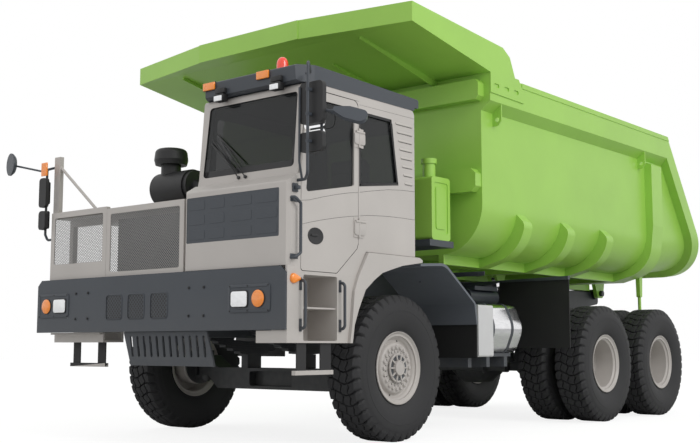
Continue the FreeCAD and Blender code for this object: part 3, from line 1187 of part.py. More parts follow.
hyd_body = plate("hydraulic_tank_shell", "YZ_Plane", [box_loop(d.hyd_front, d.hyd_rear, d.hyd_low, d.hyd_high, 40)],
                 d.hyd_inner, d.hyd_outer)
cut(hyd_body, "YZ_Plane", [box_loop(d.hyd_front + 45, d.hyd_rear - 45, d.hyd_low + 70, d.hyd_high - 60, 30)],
    d.hyd_outer - 10, d.hyd_outer)
pad(hyd_body, "YZ_Plane", [box_loop(d.hyd_front + 85, d.hyd_rear - 85, d.hyd_low + 120, d.hyd_high - 110, 24)],
    d.hyd_outer - 10, d.hyd_outer)
filler = drum("filler_neck", "Z", 70, d.hyd_high - 10, d.hyd_high + 150, d.hyd_outer - 110,
              d.hyd_front + 110)
filler_cap = drum("filler_cap", "Z", 86, d.hyd_high + 150, d.hyd_high + 205,
                  d.hyd_outer - 110, d.hyd_front + 110)
keep(fuse("hydraulic_tank", [hyd_body, filler, filler_cap]))
bracket_top = d.hyd_low - fit
bracket = plate("tank_shelf", "XZ_Plane", [[
    (d.rail_outer + fit, bracket_top), (d.hyd_outer, bracket_top), (d.hyd_outer, bracket_top - 70),
    (d.rail_outer + 240, bracket_top - 70), (d.rail_outer + 60, d.rail_top - 190),
    (d.rail_outer + fit, d.rail_top - 190)]], d.hyd_front - 40, d.hyd_rear + 60)

mounts = []
for i, (y, top) in enumerate(((-1560, sill - fit), (-140, d.cab_rear_low - fit))):
    mounts.append(plate(f"cab_mount_{i}", "XZ_Plane", [[
        (d.rail_outer + fit, d.rail_bottom + 20), (d.rail_outer + 60, d.rail_bottom + 20),
        (d.cab_inner + 260, top - 75), (d.cab_outer - 420, top - 75), (d.cab_outer - 420, top),
        (d.rail_outer + fit, top)]], y, y + 90))

guard_outer = [(110, 1815), (560, 1845, 260), (d.wing_rear - 40, 1441, 60), (d.wing_rear, 1205)]
guard_inner = [(d.wing_rear - 28, 1205), (d.wing_rear - 66, 1430, 50), (550, 1815, 240), (110, 1787)]
wing = plate("mudguard_wing", "YZ_Plane", [guard_outer + guard_inner], d.wing_inner, d.wing_outer)
wing_arm = brick("wing_arm", d.rail_outer + fit, d.wing_inner, 1080, 1140, d.rail_bottom + 40,
                 d.rail_bottom + 110)
keep(pair("mudguards", fuse("mudguard_left", [wing, wing_arm])))
flap_front = plate("front_flap", "XZ_Plane", [box_loop(d.wing_inner, d.wing_outer - 20, 840, 1230, 10)],
                   d.wing_rear + fit, d.wing_rear + fit + 12)
rear_flap = plate("rear_flap", "XZ_Plane", [box_loop(d.flap_inner, d.flap_outer, 946, 1790)],
                  d.flap_y, d.flap_y + 14)
keep(group("mud_flaps", [pair("front_flaps", flap_front), pair("rear_flaps", rear_flap)]))
flap_bar = plate("flap_bar", "XZ_Plane", [[
    (d.rail_outer + fit, 1700), (d.flap_inner, 1790), (d.flap_outer, 1790), (d.flap_outer, 1835),
    (d.rail_outer + fit, 1800)]], d.flap_y - 20, d.flap_y + 30)
keep(group("side_brackets", [tank_cradle, bracket, *right_hangers, *mounts, pair("flap_bars", flap_bar)]))

# ---- cab interior, handles and mirrors -----------------------------------------------------------

floor_z = sill + d.cab_wall
seat_x = cab_mid - 40
seat_base = brick("seat_base", seat_x - 190, seat_x + 190, -640, -220, d.cab_rear_low + d.cab_wall + fit,
                  d.cushion_low - 60)
seat_frame = plate("seat_frame", "YZ_Plane", [[
    (-640, d.cushion_low - 60), (-74, d.cushion_low - 60), (-8, d.cushion_low + 560),
    (-44 + fit, d.cushion_low + 560), (-90 + fit * 4, d.cushion_low - 40), (-640, d.cushion_low - 40)]],
    seat_x - 150, seat_x + 150)
seat_stand = fuse("seat_stand", [seat_base, seat_frame])
cushion = plate("seat_cushion", "YZ_Plane", [[(-690, d.cushion_low - 40 + fit, 30), (-180, d.cushion_low - 40 + fit, 30),
                                             (-180, d.cushion_low + 90, 30), (-690, d.cushion_low + 105, 50)]],
                seat_x - 250, seat_x + 250)
back = plate("seat_back", "YZ_Plane", [[(-212, d.cushion_low + 112, 30), (-79.8, d.cushion_low + 102, 20),
                                       (-39.1, d.cushion_low + 633, 20), (-45, d.cushion_low + 720, 30),
                                       (-120, d.cushion_low + 730, 40)]],
             seat_x - 240, seat_x + 240)
keep(group("driver_seat", [seat_stand, cushion, back]))
dash = plate("dashboard", "YZ_Plane", [[
    (d.cab_front + d.cab_wall + fit, sill + d.cab_wall + 60), (-1560, sill + d.cab_wall + 60),
    (-1380, 2280, 50), (-1420, 2480, 50), (d.shelf_y + d.cab_wall + 30, 2500),
    (d.shelf_y + d.cab_wall + fit, 2470), (d.cab_front + d.cab_wall + fit, 2380)]],
    d.cab_inner + d.cab_wall + fit, d.cab_outer - d.cab_wall - fit)
column = carve("steering_column", bar("column_bar", (seat_x, -1420, 2360), (seat_x, -1180, 2560), 28), dash)
ring = doc.addObject("Part::Torus", "steering_ring")
ring.Radius1 = 225
ring.Radius2 = 17
spoke = doc.addObject("Part::Box", "steering_spokes")
spoke.Length, spoke.Width, spoke.Height = 430, 46, 16
spoke.Placement.Base = FreeCAD.Vector(-215, -23, -8)
wheel = fuse("steering_wheel_flat", [ring, spoke])
wheel.Placement = FreeCAD.Placement(FreeCAD.Vector(0, -1180, 2560), FreeCAD.Rotation(FreeCAD.Vector(1, 0, 0), -50))
bind(wheel, "Placement.Base.x", seat_x)
keep(dash, fuse("steering_wheel", [column, wheel]))

side_x = d.cab_outer
handle_r = 14
entry_face = d.cab_outer + fit
keep(group("grab_handles", [
    tube_path("front_handle", [(side_x + fit, -1826, 2300), (side_x + 50, -1826, 2300), (side_x + 50, -1750, 2250),
                               (side_x + 50, -1750, 1800), (side_x + 50, -1826, 1755),
                               (side_x + fit, -1826, 1755)], handle_r, 22),
    *[tube_path(f"step_handle_{i}", [(side_x + fit, y, d.entry_low + 560), (side_x + 62, y, d.entry_low + 560),
                                    (side_x + 62, y, d.entry_low + 130), (side_x + fit, y, d.entry_low + 130)],
                handle_r, 40) for i, y in enumerate((d.step_front - 40, d.step_rear + 40))]]))

post_y = -1840
pole_x = side_x + 208
glass_front = -1795
glass_back = -1745
roof_side = side_x + 6 + fit
left_arm = tube_path("left_mirror_arm", [
    (roof_side, -1640, d.cab_roof_line + 66), (side_x + 60, -1640, d.cab_roof_line + 66),
    (pole_x, post_y, d.cab_roof_line + 112), (pole_x, post_y, d.nose_top + 40),
    (side_x + 90, -1740, d.nose_top + 10), (side_x + fit, -1740, d.nose_top + 10)], handle_r, 40)
stay = tube_path("mirror_stay", [
    (side_x + 75, glass_front - 8, 3300), (side_x + 75, glass_front - 8, 2620),
    (side_x + 55, -1742, d.nose_top + 12)], 11, 60)
big = plate("left_big_mirror", "XZ_Plane", [box_loop(side_x + 66, side_x + 344, 2955, 3335, 45)],
            glass_front, glass_back)
small = plate("left_small_mirror", "XZ_Plane", [box_loop(side_x + 62, side_x + 343, 2698, 2878, 45)],
              glass_front, glass_back)
clamps = [brick(f"mirror_clamp_{z}", pole_x - 14, pole_x + 14, post_y - 17, glass_front + 4, z, z + 26)
          for z in (2775, 3020, 3245)]
knuckle_x, knuckle_y, knuckle_z = side_x + 420, -1720, 3045
kerb_arm = bar("kerb_arm", (side_x + 275, glass_back - 12, knuckle_z + 32), (knuckle_x, knuckle_y, knuckle_z), 13)
kerb_knuckle = drum("kerb_knuckle", "X", 26, knuckle_x - 25, knuckle_x + 25, knuckle_y, knuckle_z)
oval = plate("kerb_mirror", "XY_Plane", [[(-10, -24, 12), (-10, 24, 12), (120, 72, 60), (315, 74, 66),
                                          (315, -74, 66), (120, -72, 60)]], 0, 40)
oval_whole = group("kerb_mirror_set", [oval])
oval_whole.Placement = FreeCAD.Placement(FreeCAD.Vector(), FreeCAD.Rotation(
    FreeCAD.Vector(0.873, 0.374, -0.312), FreeCAD.Vector(0, 0, 0), FreeCAD.Vector(0.494, -0.686, 0.534), "XZY"))
place(oval_whole, knuckle_x, knuckle_y, knuckle_z)
left_set = [fuse("left_mirrors", [left_arm, stay, big, small, *clamps, kerb_arm, kerb_knuckle, oval_whole])]
cable_from = (side_x + 220, glass_back + fit, 3005)
cable_to = (knuckle_x + 2, knuckle_y, knuckle_z - 26 - fit)
keep(tube_path("mirror_cable", [
    cable_from, (side_x + 220, -1700, 3005), (side_x + 227, -1672, 2962), (side_x + 257, -1664, 2930),
    (side_x + 303, -1668, 2911), (side_x + 354, -1676, 2909), (side_x + 399, -1692, 2932),
    (side_x + 418, -1710, 2977), cable_to], 4))
post_face = -d.panel_outer - 50
arm_x = post_face - 50
right_arm = tube_path("right_mirror_arm", [
    (post_face - fit, -1775, 2960), (arm_x, -1775, 2960), (arm_x, -1860, 2930), (arm_x, -1860, 2200),
    (arm_x, -1828, 2140), (-d.panel_outer - fit, -1828, 2140)], handle_r, 24)
long_mirror = plate("right_long_mirror", "XZ_Plane", [box_loop(arm_x - 65, arm_x + 65, 2500, 2830, 40)],
                    -1915, -1860 - handle_r + 2)
short_mirror = plate("right_short_mirror", "XZ_Plane", [box_loop(arm_x - 60, arm_x + 60, 2250, 2460, 40)],
                     -1915, -1860 - handle_r + 2)
stalk = bar("round_mirror_stalk", (arm_x, -1860, 2900), (-2440, -1900, 3045), 11)
bowl = turned("round_mirror_bowl", [(0, 0), (0, 130), (18, 130, 6), (50, 100, 30), (62, 40, 20), (62, 0)])
bowl.Placement = FreeCAD.Placement(FreeCAD.Vector(-2450, -1925, 3050), FreeCAD.Rotation(FreeCAD.Vector(0, 0, 1), 75))
keep(group("mirrors", [*left_set, fuse("right_mirrors", [right_arm, long_mirror, short_mirror, stalk, bowl])]))

# ---- dump body -------------------------------------------------------------------------------

def body_solid(name, inset, wide, drop, front, rear):
    """The swept U: a constant stretch and a tail whose floor climbs."""
    shape = plate(f"{name}_front", "XZ_Plane", [both_sides([
        (d.body_half - inset + wide, d.body_floor + inset - drop, d.body_round - inset + wide),
        (d.body_half - inset + wide, d.body_top + 300)])], front, d.tail_start)
    loft = shape.newObject("PartDesign::AdditiveLoft", "tail")
    near = draw(shape, "XZ_Plane", [both_sides([
        (d.body_half - inset + wide, d.body_floor + inset - drop, d.body_round - inset + wide),
        (d.body_half - inset + wide, d.body_top + 300)])], d.tail_start)
    far = draw(shape, "XZ_Plane", [both_sides([
        (d.body_half - inset + wide, d.tail_floor + inset - drop, d.body_round - inset + wide),
        (d.body_half - inset + wide, d.body_top + 300)])], rear)
    loft.Profile = near
    loft.Sections = [far]
    loft.Ruled = True
    return shape


rail_half = d.body_half + d.rail_flare
rake = (d.tail_low_y - d.tail_top_y) / (d.tail_top_z - d.tail_low_z)
far_end = d.tail_low_y + 200


def rake_y(z, back=0):
    return d.tail_low_y - rake * (z - d.tail_low_z) - back


top_z = d.body_top + 400
low_z = d.tail_low_z - 400
behind_tail = plate("behind_tail", "YZ_Plane", [[
    (rake_y(low_z), low_z), (far_end + 600, low_z), (far_end + 600, top_z), (rake_y(top_z), top_z)]],
    -rail_half - 400, rail_half + 400)
above_body = brick("above_body", -rail_half - 400, rail_half + 400, d.body_front - 400,
                   far_end + 400, d.body_top, d.body_top + 500)
trim = fuse("body_trim", [behind_tail, above_body])
outer_u = body_solid("u_outer", 0, 0, 0, d.body_front, far_end)
cavity = body_solid("u_cavity", d.body_wall, 0, 0, d.body_front + d.body_wall, far_end)
rails = plate("side_rail", "XZ_Plane", [[
    (d.body_half - d.body_wall, d.lip_slope - 40), (d.body_half, d.lip_slope), (rail_half, d.lip_low),
    (rail_half, d.body_top), (d.body_half - d.body_wall, d.body_top)]], d.body_front, far_end)
rim_outer = body_solid("rim_outer", 0, d.rim_proud, d.rim_proud - 20, d.tail_start - 800, far_end)
rim_slab = plate("rim_slab", "YZ_Plane", [[
    (rake_y(low_z, d.rim_band), low_z), (rake_y(low_z), low_z), (rake_y(top_z), top_z),
    (rake_y(top_z, d.rim_band), top_z)]], -rail_half - 100, rail_half + 100)
rim_ring = overlap_of("tail_rim_whole", rim_outer, rim_slab)
cap = plate("rail_cap", "XZ_Plane", [[
    (rail_half - 20, d.body_top - d.cap_depth), (rail_half + d.cap_proud, d.body_top - d.cap_depth),
    (rail_half + d.cap_proud, d.body_top), (rail_half - 20, d.body_top)]], d.cap_start, far_end)
eyes_at = (d.lift_front, d.post_front - 230)
lift_loop = [(d.body_half - 10, d.lip_slope - 150), (d.body_half + 70, d.lip_slope - 150, 40),
             (rail_half - 8, d.lip_slope - 90, 30), (rail_half - 8, d.lip_low + 20), (d.body_half - 10, d.lip_low + 20)]
lifts = [plate(f"lifting_eye_{i}", "XZ_Plane", [lift_loop], y, y + d.lift_plate) for i, y in enumerate(eyes_at)]
for lift, y in zip(lifts, eyes_at):
    cut(lift, "XZ_Plane", [], y, y + d.lift_plate, [(d.body_half + 62, d.lip_slope - 78, d.lift_bore)])
left_rail = fuse("left_rail_set", [rails, cap, *lifts])
walls = fuse("body_walls", [outer_u, left_rail, mirrored("right_rail_set", left_rail), rim_ring])
keep(carve("dump_body", walls, fuse("body_removed", [cavity, trim])))
u_solid = body_solid("u_envelope", -0.3, 0, 0, d.body_front - 1, far_end)
rib_loop = both_sides([(d.sill_outer, d.body_floor - d.sill_height - 4),
                       (d.body_half + d.rib_drop - 70, d.body_floor - d.sill_height + 150, d.rib_round),
                       (d.body_half + d.rib_drop, d.rib_top - 90, 100), (d.body_half - 40, d.rib_top + 60)])
rib_bits = []
for i in range(3):
    y = d.rib_first + d.rib_pitch * i
    rib_bits.append(plate(f"rib_{i}", "XZ_Plane", [rib_loop], y - d.rib_width / 2, y + d.rib_width / 2))
post_loop = both_sides([(d.sill_outer, d.body_floor - d.sill_height - 4),
                        (d.body_half + d.rib_drop - 70, d.body_floor - d.sill_height + 150, d.rib_round),
                        (d.body_half + d.rib_drop, d.rib_top + 200, 100),
                        (d.body_half + d.rib_drop, d.lip_slope - 60), (d.body_half - 40, d.lip_slope - 2)])
rib_bits.append(plate("rear_post", "XZ_Plane", [post_loop], d.post_front, d.post_front + 340))
for side in (-1, 1):
    rib_bits.append(brick(f"sill_{side}", side * (d.sill_outer - d.sill_width / 2) - d.sill_width / 2,
                          side * (d.sill_outer - d.sill_width / 2) + d.sill_width / 2, d.body_front,
                          d.post_front + 340, d.body_floor - d.sill_height, d.body_floor + 20))
    rib_bits.append(brick(f"bed_beam_{side}", side * (rail_inner + 50) - 50, side * (rail_inner + 50) + 50,
                          d.body_front, d.pivot_y - 200, d.rail_top + d.beam_rest, d.body_floor + 20))
ribs = carve("underframe_ribs", fuse("ribs_whole", rib_bits), u_solid)

stiffeners = [
    plate("front_stiffener_high", "XZ_Plane", [both_sides([
        (1990, d.stiff_high_low), (2030, d.stiff_high_low + 40), (2030, d.stiff_high_top - 40),
        (1990, d.stiff_high_top)])], d.body_front - d.stiff_depth, d.body_front - fit),
    plate("front_stiffener_low", "XZ_Plane", [both_sides([
        (1920, d.stiff_low_low), (1980, d.stiff_low_low + 60), (1980, d.stiff_low_top - 60),
        (1920, d.stiff_low_top)])], d.body_front - d.stiff_depth, d.body_front - fit)]

ear_y = d.pivot_y
ear = plate("hinge_ear", "YZ_Plane", [[
    (ear_y - 260, 2170), (ear_y - 90, d.pivot_z - 70, 60), (ear_y + 90, d.pivot_z - 70, 60),
    (ear_y + 190, 2170)]], d.rail_outer + 44, d.rail_outer + 104)
cut(ear, "YZ_Plane", [], d.rail_outer + 44, d.rail_outer + 104, [(d.pivot_y, d.pivot_z, d.pivot_pin + fit)])
hoist_ears = []
for sign in (-1, 1):
    inner_face = d.hoist_x + sign * (eye_half_width + 24) - 18
    hoist_ears.append(plate(f"hoist_ear_{sign}", "YZ_Plane", [[
        (d.hoist_high_y - 170, d.body_floor + 10), (d.hoist_high_y - 70, d.hoist_high_z - 70, 50),
        (d.hoist_high_y + 70, d.hoist_high_z - 70, 50), (d.hoist_high_y + 170, d.body_floor + 10)]],
        inner_face, inner_face + 36))
left_ears = carve("left_ears", fuse("left_ears_whole", [ear, *hoist_ears]), u_solid)
keep(group("body_ribs", [ribs, *stiffeners, pair("body_ears", left_ears)]))

# ---- canopy over the cab ---------------------------------------------------------------------

canopy_half = rail_half + 12
nose_side = [(d.canopy_nose - 10, d.canopy_lip_low + 6), (d.canopy_front, d.canopy_lip_low),
             (d.body_front - 2, d.canopy_back_low), (1700, d.canopy_back_low), (1579, 4258),
             (1429, 4343), (d.canopy_front, d.canopy_lip_high), (d.canopy_nose - 10, d.canopy_lip_high + 6)]
shell = plate("canopy_shell", "YZ_Plane", [nose_side], -canopy_half, canopy_half)
cut(shell, "XY_Plane", [[(side * d.canopy_fold, d.canopy_nose), (side * (canopy_half + 10), d.canopy_front - 2),
                         (side * (canopy_half + 10), d.canopy_nose - 60), (side * d.canopy_fold, d.canopy_nose - 60)]
                        for side in (-1, 1)], d.canopy_back_low - 50, d.canopy_lip_high + 60)
plan = both_sides([(d.canopy_fold, d.canopy_nose + d.canopy_plate),
                   (canopy_half - d.canopy_plate, d.canopy_front + d.canopy_plate),
                   (canopy_half - d.canopy_plate, 1800)])
tray = plate("canopy_hollow_plan", "XY_Plane", [plan], d.canopy_back_low - 100, d.canopy_lip_high + 200)
tray_side = plate("canopy_hollow_side", "YZ_Plane", [[
    (d.canopy_nose - 20, d.canopy_lip_low + 40 + d.canopy_plate), (d.body_front - 2, d.canopy_back_low + d.canopy_plate),
    (1800, d.canopy_back_low - 90), (1800, d.canopy_lip_high + 150),
    (d.canopy_nose - 20, d.canopy_lip_high + 150)]], -canopy_half, canopy_half)
doubler = plate("canopy_doubler", "YZ_Plane", [[(1158, 3781), (1875, 3772), (1924, 3852), (1815, 3974),
                                               (1772, 4037), (1158, 4037)]], rail_half + fit, canopy_half)
for i in range(3):
    near_end = d.doubler_slot + d.doubler_pitch * i
    cut(doubler, "YZ_Plane", [box_loop(near_end, near_end + 100, d.doubler_low, d.doubler_low + 44, 14)],
        rail_half + fit, canopy_half)
gusset = plate("canopy_gusset", "YZ_Plane", [[(d.body_front - 2, d.stiff_high_top + fit), (d.body_front - 2, d.canopy_back_low + 4),
                                             (200, 4172), (200, 4140)]], 620, 640)
edge_beam = plate("canopy_edge", "YZ_Plane", [[(d.body_front - 2, d.stiff_high_top + fit), (d.body_front - 2, d.canopy_back_low + 4),
                                              (-250, 4240), (-250, 4200)]], 1380, 1400)
canopy = carve("canopy_tray", shell, overlap_of("canopy_hollow", tray, tray_side))
keep(fuse("body_canopy", [canopy, doubler, mirrored("doubler_right", doubler), gusset,
                          mirrored("gusset_right", gusset), edge_beam, mirrored("edge_right", edge_beam)]))

# ---- rock ejectors and hoists ------------------------------------------------------------------

eject_x = dual_x
eject_y = mid_y + d.bogie_pitch / 2
lug = plate("ejector_lug", "YZ_Plane", [[(6090, 2130), (6110, 1690, 20), (6180, 1690, 20), (6210, 2130)]],
            eject_x - 30, eject_x + 30)
ejector = carve("ejector_trimmed", lug, u_solid)
rods = drum("ejector_rod", "Z", 24, 1150, 1700, eject_x, 6145)
keep(pair("rock_ejectors", fuse("ejector_left", [ejector, rods])))

tilt = "atan((dims.hoist_low_y - dims.hoist_high_y) / (dims.hoist_high_z - dims.hoist_low_z))"
reach = math.hypot(d.hoist_high_z.value - d.hoist_low_z.value, d.hoist_low_y.value - d.hoist_high_y.value)
closed = Size(reach, "sqrt((dims.hoist_high_z - dims.hoist_low_z) ^ 2 + (dims.hoist_low_y - dims.hoist_high_y) ^ 2)")


def on_hoist(label, things):
    """Puts a hoist piece, drawn upright on the pivot, along the leaning cylinder on each side."""
    whole = fuse(f"{label}_upright", things) if len(things) > 1 else group(f"{label}_upright", things)
    whole.Placement = FreeCAD.Placement(FreeCAD.Vector(), FreeCAD.Rotation(FreeCAD.Vector(1, 0, 0), 9.6))
    whole.setExpression("Placement.Rotation.Angle", tilt)
    place(whole, d.hoist_x, d.hoist_low_y, d.hoist_low_z)
    return pair(label, whole)


def sleeve(label, radius, bore, low, high):
    return carve(f"{label}_sleeve", drum(f"{label}_tube", "Z", radius, low, high, 0, 0),
                 drum(f"{label}_bore", "Z", bore, low - 5, high + 5, 0, 0))


def eye(label, z):
    body = drum(f"{label}_round", "X", d.eye_radius, -eye_half_width, eye_half_width, 0, z)
    return carve(f"{label}_eye", body, drum(f"{label}_hole", "X", d.eye_bore, -d.eye_width, d.eye_width, 0, z))


low_eye = eye("barrel", 0)
foot_plug = carve("foot_plug", drum("foot_disc", "Z", d.barrel_radius, d.eye_radius - 12, d.barrel_start + 30, 0, 0),
                  drum("foot_clear", "X", d.eye_radius - 1, -400, 400, 0, 0))
keep(on_hoist("hoist_barrels", [
    low_eye, foot_plug, sleeve("barrel", d.barrel_radius, d.stage_one_radius + d.run_gap,
                               d.barrel_start + 30, d.barrel_end)]))
step_up = 24
keep(on_hoist("hoist_stage_1", [sleeve("stage_1", d.stage_one_radius, d.stage_two_radius + d.run_gap,
                                       d.barrel_start + 60, d.barrel_end + step_up)]))
keep(on_hoist("hoist_stage_2", [sleeve("stage_2", d.stage_two_radius, d.stage_three_radius + d.run_gap,
                                       d.barrel_start + 60, d.barrel_end + step_up * 2)]))
keep(on_hoist("hoist_stage_3", [
    drum("stage_3_rod", "Z", d.stage_three_radius, d.barrel_start + 60, closed - d.neck_length, 0, 0),
    carve("stage_3_neck", brick("neck_block", -eye_half_width, eye_half_width, -58, 58,
                                closed - d.neck_length - 12, closed),
          drum("neck_clear", "X", d.eye_radius - 1, -d.eye_width, d.eye_width, 0, closed)),
    eye("rod", closed)]))

# ---- checks and files ------------------------------------------------------------------------

doc.recompute()
for thing in doc.Objects:
    if "Invalid" in thing.State or "Error" in thing.State:
        raise RuntimeError(f"{thing.Label} did not build: {thing.State}")
labels = [node.Label for node in nodes]
if len(set(labels)) != len(labels):
    raise RuntimeError("two pieces share a name")
for node in nodes:
    if node.Shape.isNull() or not node.Shape.isValid() or not node.Shape.Solids:
        raise RuntimeError(f"{node.Label} has no sound shape")
os.makedirs("parts", exist_ok=True)
for node in nodes:
    node.Shape.exportStep(f"parts/{node.Label}.step")
print(len(nodes), "pieces written")
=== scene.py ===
import math
import bpy
import bmesh
from mathutils import Matrix, Vector


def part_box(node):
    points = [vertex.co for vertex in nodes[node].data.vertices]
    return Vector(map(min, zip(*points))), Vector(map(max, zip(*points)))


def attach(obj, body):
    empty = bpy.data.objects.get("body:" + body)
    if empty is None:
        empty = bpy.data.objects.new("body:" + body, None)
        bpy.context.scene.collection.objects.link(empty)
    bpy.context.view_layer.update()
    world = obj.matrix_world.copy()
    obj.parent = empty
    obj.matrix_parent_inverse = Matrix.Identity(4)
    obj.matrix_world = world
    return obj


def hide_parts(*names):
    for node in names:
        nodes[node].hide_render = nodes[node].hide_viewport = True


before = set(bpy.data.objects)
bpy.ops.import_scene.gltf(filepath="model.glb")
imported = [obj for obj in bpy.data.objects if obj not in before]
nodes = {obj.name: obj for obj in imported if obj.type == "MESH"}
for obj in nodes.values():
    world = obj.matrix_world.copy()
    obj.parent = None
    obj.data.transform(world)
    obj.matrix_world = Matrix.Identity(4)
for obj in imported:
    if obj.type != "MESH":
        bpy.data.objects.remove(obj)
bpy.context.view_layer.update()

print("frame loaded:", len(nodes), "parts")


def newMaterial(name, roughness=0.5, metallic=0.0):
    mat = bpy.data.materials.new(name)
    mat.use_nodes = True
    shader = mat.node_tree.nodes["Principled BSDF"]
    shader.inputs["Roughness"].default_value = roughness
    shader.inputs["Metallic"].default_value = metallic
    return mat, mat.node_tree.nodes, mat.node_tree.links, shader


def noiseNode(tree, links, scale, detail=3.0, stretch=None):
    coords = tree.new("ShaderNodeTexCoord")
    noise = tree.new("ShaderNodeTexNoise")
    noise.inputs["Scale"].default_value = scale
    noise.inputs["Detail"].default_value = detail
    if stretch:
        mapping = tree.new("ShaderNodeMapping")
        mapping.inputs["Scale"].default_value = stretch
        links.new(coords.outputs["Object"], mapping.inputs["Vector"])
        links.new(mapping.outputs["Vector"], noise.inputs["Vector"])
    else:
        links.new(coords.outputs["Object"], noise.inputs["Vector"])
    return noise


def tintByNoise(tree, links, shader, noise, color, spread):
    ramp = tree.new("ShaderNodeValToRGB")
    low = [c * (1 - spread) for c in color]
    high = [min(1.0, c * (1 + spread)) for c in color]
    ramp.color_ramp.elements[0].position = 0.3
    ramp.color_ramp.elements[1].position = 0.7
    ramp.color_ramp.elements[0].color = (*low, 1)
    ramp.color_ramp.elements[1].color = (*high, 1)
    links.new(noise.outputs["Fac"], ramp.inputs["Fac"])
    links.new(ramp.outputs["Color"], shader.inputs["Base Color"])
    return ramp


def roughByNoise(tree, links, shader, noise, low, high):
    span = tree.new("ShaderNodeMapRange")
    span.inputs["To Min"].default_value = low
    span.inputs["To Max"].default_value = high
    links.new(noise.outputs["Fac"], span.inputs["Value"])
    links.new(span.outputs["Result"], shader.inputs["Roughness"])


def bumpFrom(tree, links, shader, source, strength, distance):
    bump = tree.new("ShaderNodeBump")
    bump.inputs["Strength"].default_value = strength
    bump.inputs["Distance"].default_value = distance
    links.new(source, bump.inputs["Height"])
    links.new(bump.outputs["Normal"], shader.inputs["Normal"])


roadDust = {"from": 1.5, "full": 0.3, "most": 0.22, "color": (0.34, 0.31, 0.26, 1)}


def paintFinish(name, color, gloss):
    # sprayed paint: faint orange peel, a slight drift in tone, dust low down
    mat, tree, links, shader = newMaterial(name)
    cloud = noiseNode(tree, links, 1.3, 5.0)
    ramp = tintByNoise(tree, links, shader, cloud, color, 0.045)
    coords = tree.new("ShaderNodeTexCoord")
    split = tree.new("ShaderNodeSeparateXYZ")
    links.new(coords.outputs["Object"], split.inputs["Vector"])
    height = tree.new("ShaderNodeMapRange")
    height.inputs["From Min"].default_value = roadDust["from"]
    height.inputs["From Max"].default_value = roadDust["full"]
    height.inputs["To Max"].default_value = roadDust["most"]
    links.new(split.outputs["Z"], height.inputs["Value"])
    speck = noiseNode(tree, links, 14.0, 6.0)
    dust = tree.new("ShaderNodeMath")
    dust.operation = "MULTIPLY"
    links.new(height.outputs["Result"], dust.inputs[0])
    links.new(speck.outputs["Fac"], dust.inputs[1])
    mix = tree.new("ShaderNodeMix")
    mix.data_type = "RGBA"
    links.new(dust.outputs["Value"], mix.inputs["Factor"])
    links.new(ramp.outputs["Color"], mix.inputs["A"])
    mix.inputs["B"].default_value = roadDust["color"]
    links.new(mix.outputs["Result"], shader.inputs["Base Color"])
    roughByNoise(tree, links, shader, speck, gloss["low"], gloss["high"])
    peel = noiseNode(tree, links, 160.0, 2.0)
    bumpFrom(tree, links, shader, peel.outputs["Fac"], 0.05, 0.001)
    shader.inputs["Coat Weight"].default_value = gloss["coat"]
    shader.inputs["Coat Roughness"].default_value = 0.18
    return mat


def plasticFinish(name, color, low, high, grain=260.0):
    mat, tree, links, shader = newMaterial(name)
    cloud = noiseNode(tree, links, 4.0)
    tintByNoise(tree, links, shader, cloud, color, 0.08)
    roughByNoise(tree, links, shader, cloud, low, high)
    fine = noiseNode(tree, links, grain, 2.0)
    bumpFrom(tree, links, shader, fine.outputs["Fac"], 0.12, 0.0008)
    return mat


def metalFinish(name, color, low, high, stretch=(1, 1, 30)):
    mat, tree, links, shader = newMaterial(name, metallic=1.0)
    streak = noiseNode(tree, links, 9.0, 4.0, stretch)
    tintByNoise(tree, links, shader, streak, color, 0.06)
    roughByNoise(tree, links, shader, streak, low, high)
    bumpFrom(tree, links, shader, streak.outputs["Fac"], 0.04, 0.0005)
    return mat


def castFinish(name, color):
    mat, tree, links, shader = newMaterial(name, metallic=0.3)
    grit = noiseNode(tree, links, 70.0, 5.0)
    tintByNoise(tree, links, shader, grit, color, 0.14)
    roughByNoise(tree, links, shader, grit, 0.5, 0.75)
    bumpFrom(tree, links, shader, grit.outputs["Fac"], 0.3, 0.002)
    return mat


def tyreFinish(name):
    # dull rubber with a fine grain
    mat, tree, links, shader = newMaterial(name)
    cloud = noiseNode(tree, links, 6.0, 6.0)
    tintByNoise(tree, links, shader, cloud, (0.0225, 0.0225, 0.0240), 0.12)
    roughByNoise(tree, links, shader, cloud, 0.62, 0.82)
    fine = noiseNode(tree, links, 190.0, 3.0)
    bumpFrom(tree, links, shader, fine.outputs["Fac"], 0.18, 0.001)
    return mat


def glassFinish(name, color, roughness=0.03):
    mat, tree, links, shader = newMaterial(name, roughness)
    cloud = noiseNode(tree, links, 2.0)
    tintByNoise(tree, links, shader, cloud, color, 0.02)
    roughByNoise(tree, links, shader, cloud, roughness * 0.7, roughness * 1.4)
    shader.inputs["Alpha"].default_value = 0.62
    shader.inputs["IOR"].default_value = 1.45
    return mat


def lensFinish(name, color, glow, prism):
    # moulded lens: clear gloss over small vertical prisms
    mat, tree, links, shader = newMaterial(name, 0.12)
    cloud = noiseNode(tree, links, 20.0)
    tintByNoise(tree, links, shader, cloud, color, 0.05)
    wave = tree.new("ShaderNodeTexWave")
    wave.inputs["Scale"].default_value = 45.0
    coords = tree.new("ShaderNodeTexCoord")
    links.new(coords.outputs["Object"], wave.inputs["Vector"])
    bumpFrom(tree, links, shader, wave.outputs["Fac"], prism, 0.002)
    shader.inputs["Coat Weight"].default_value = 0.8
    shader.inputs["Emission Color"].default_value = (*color, 1)
    shader.inputs["Emission Strength"].default_value = glow
    return mat


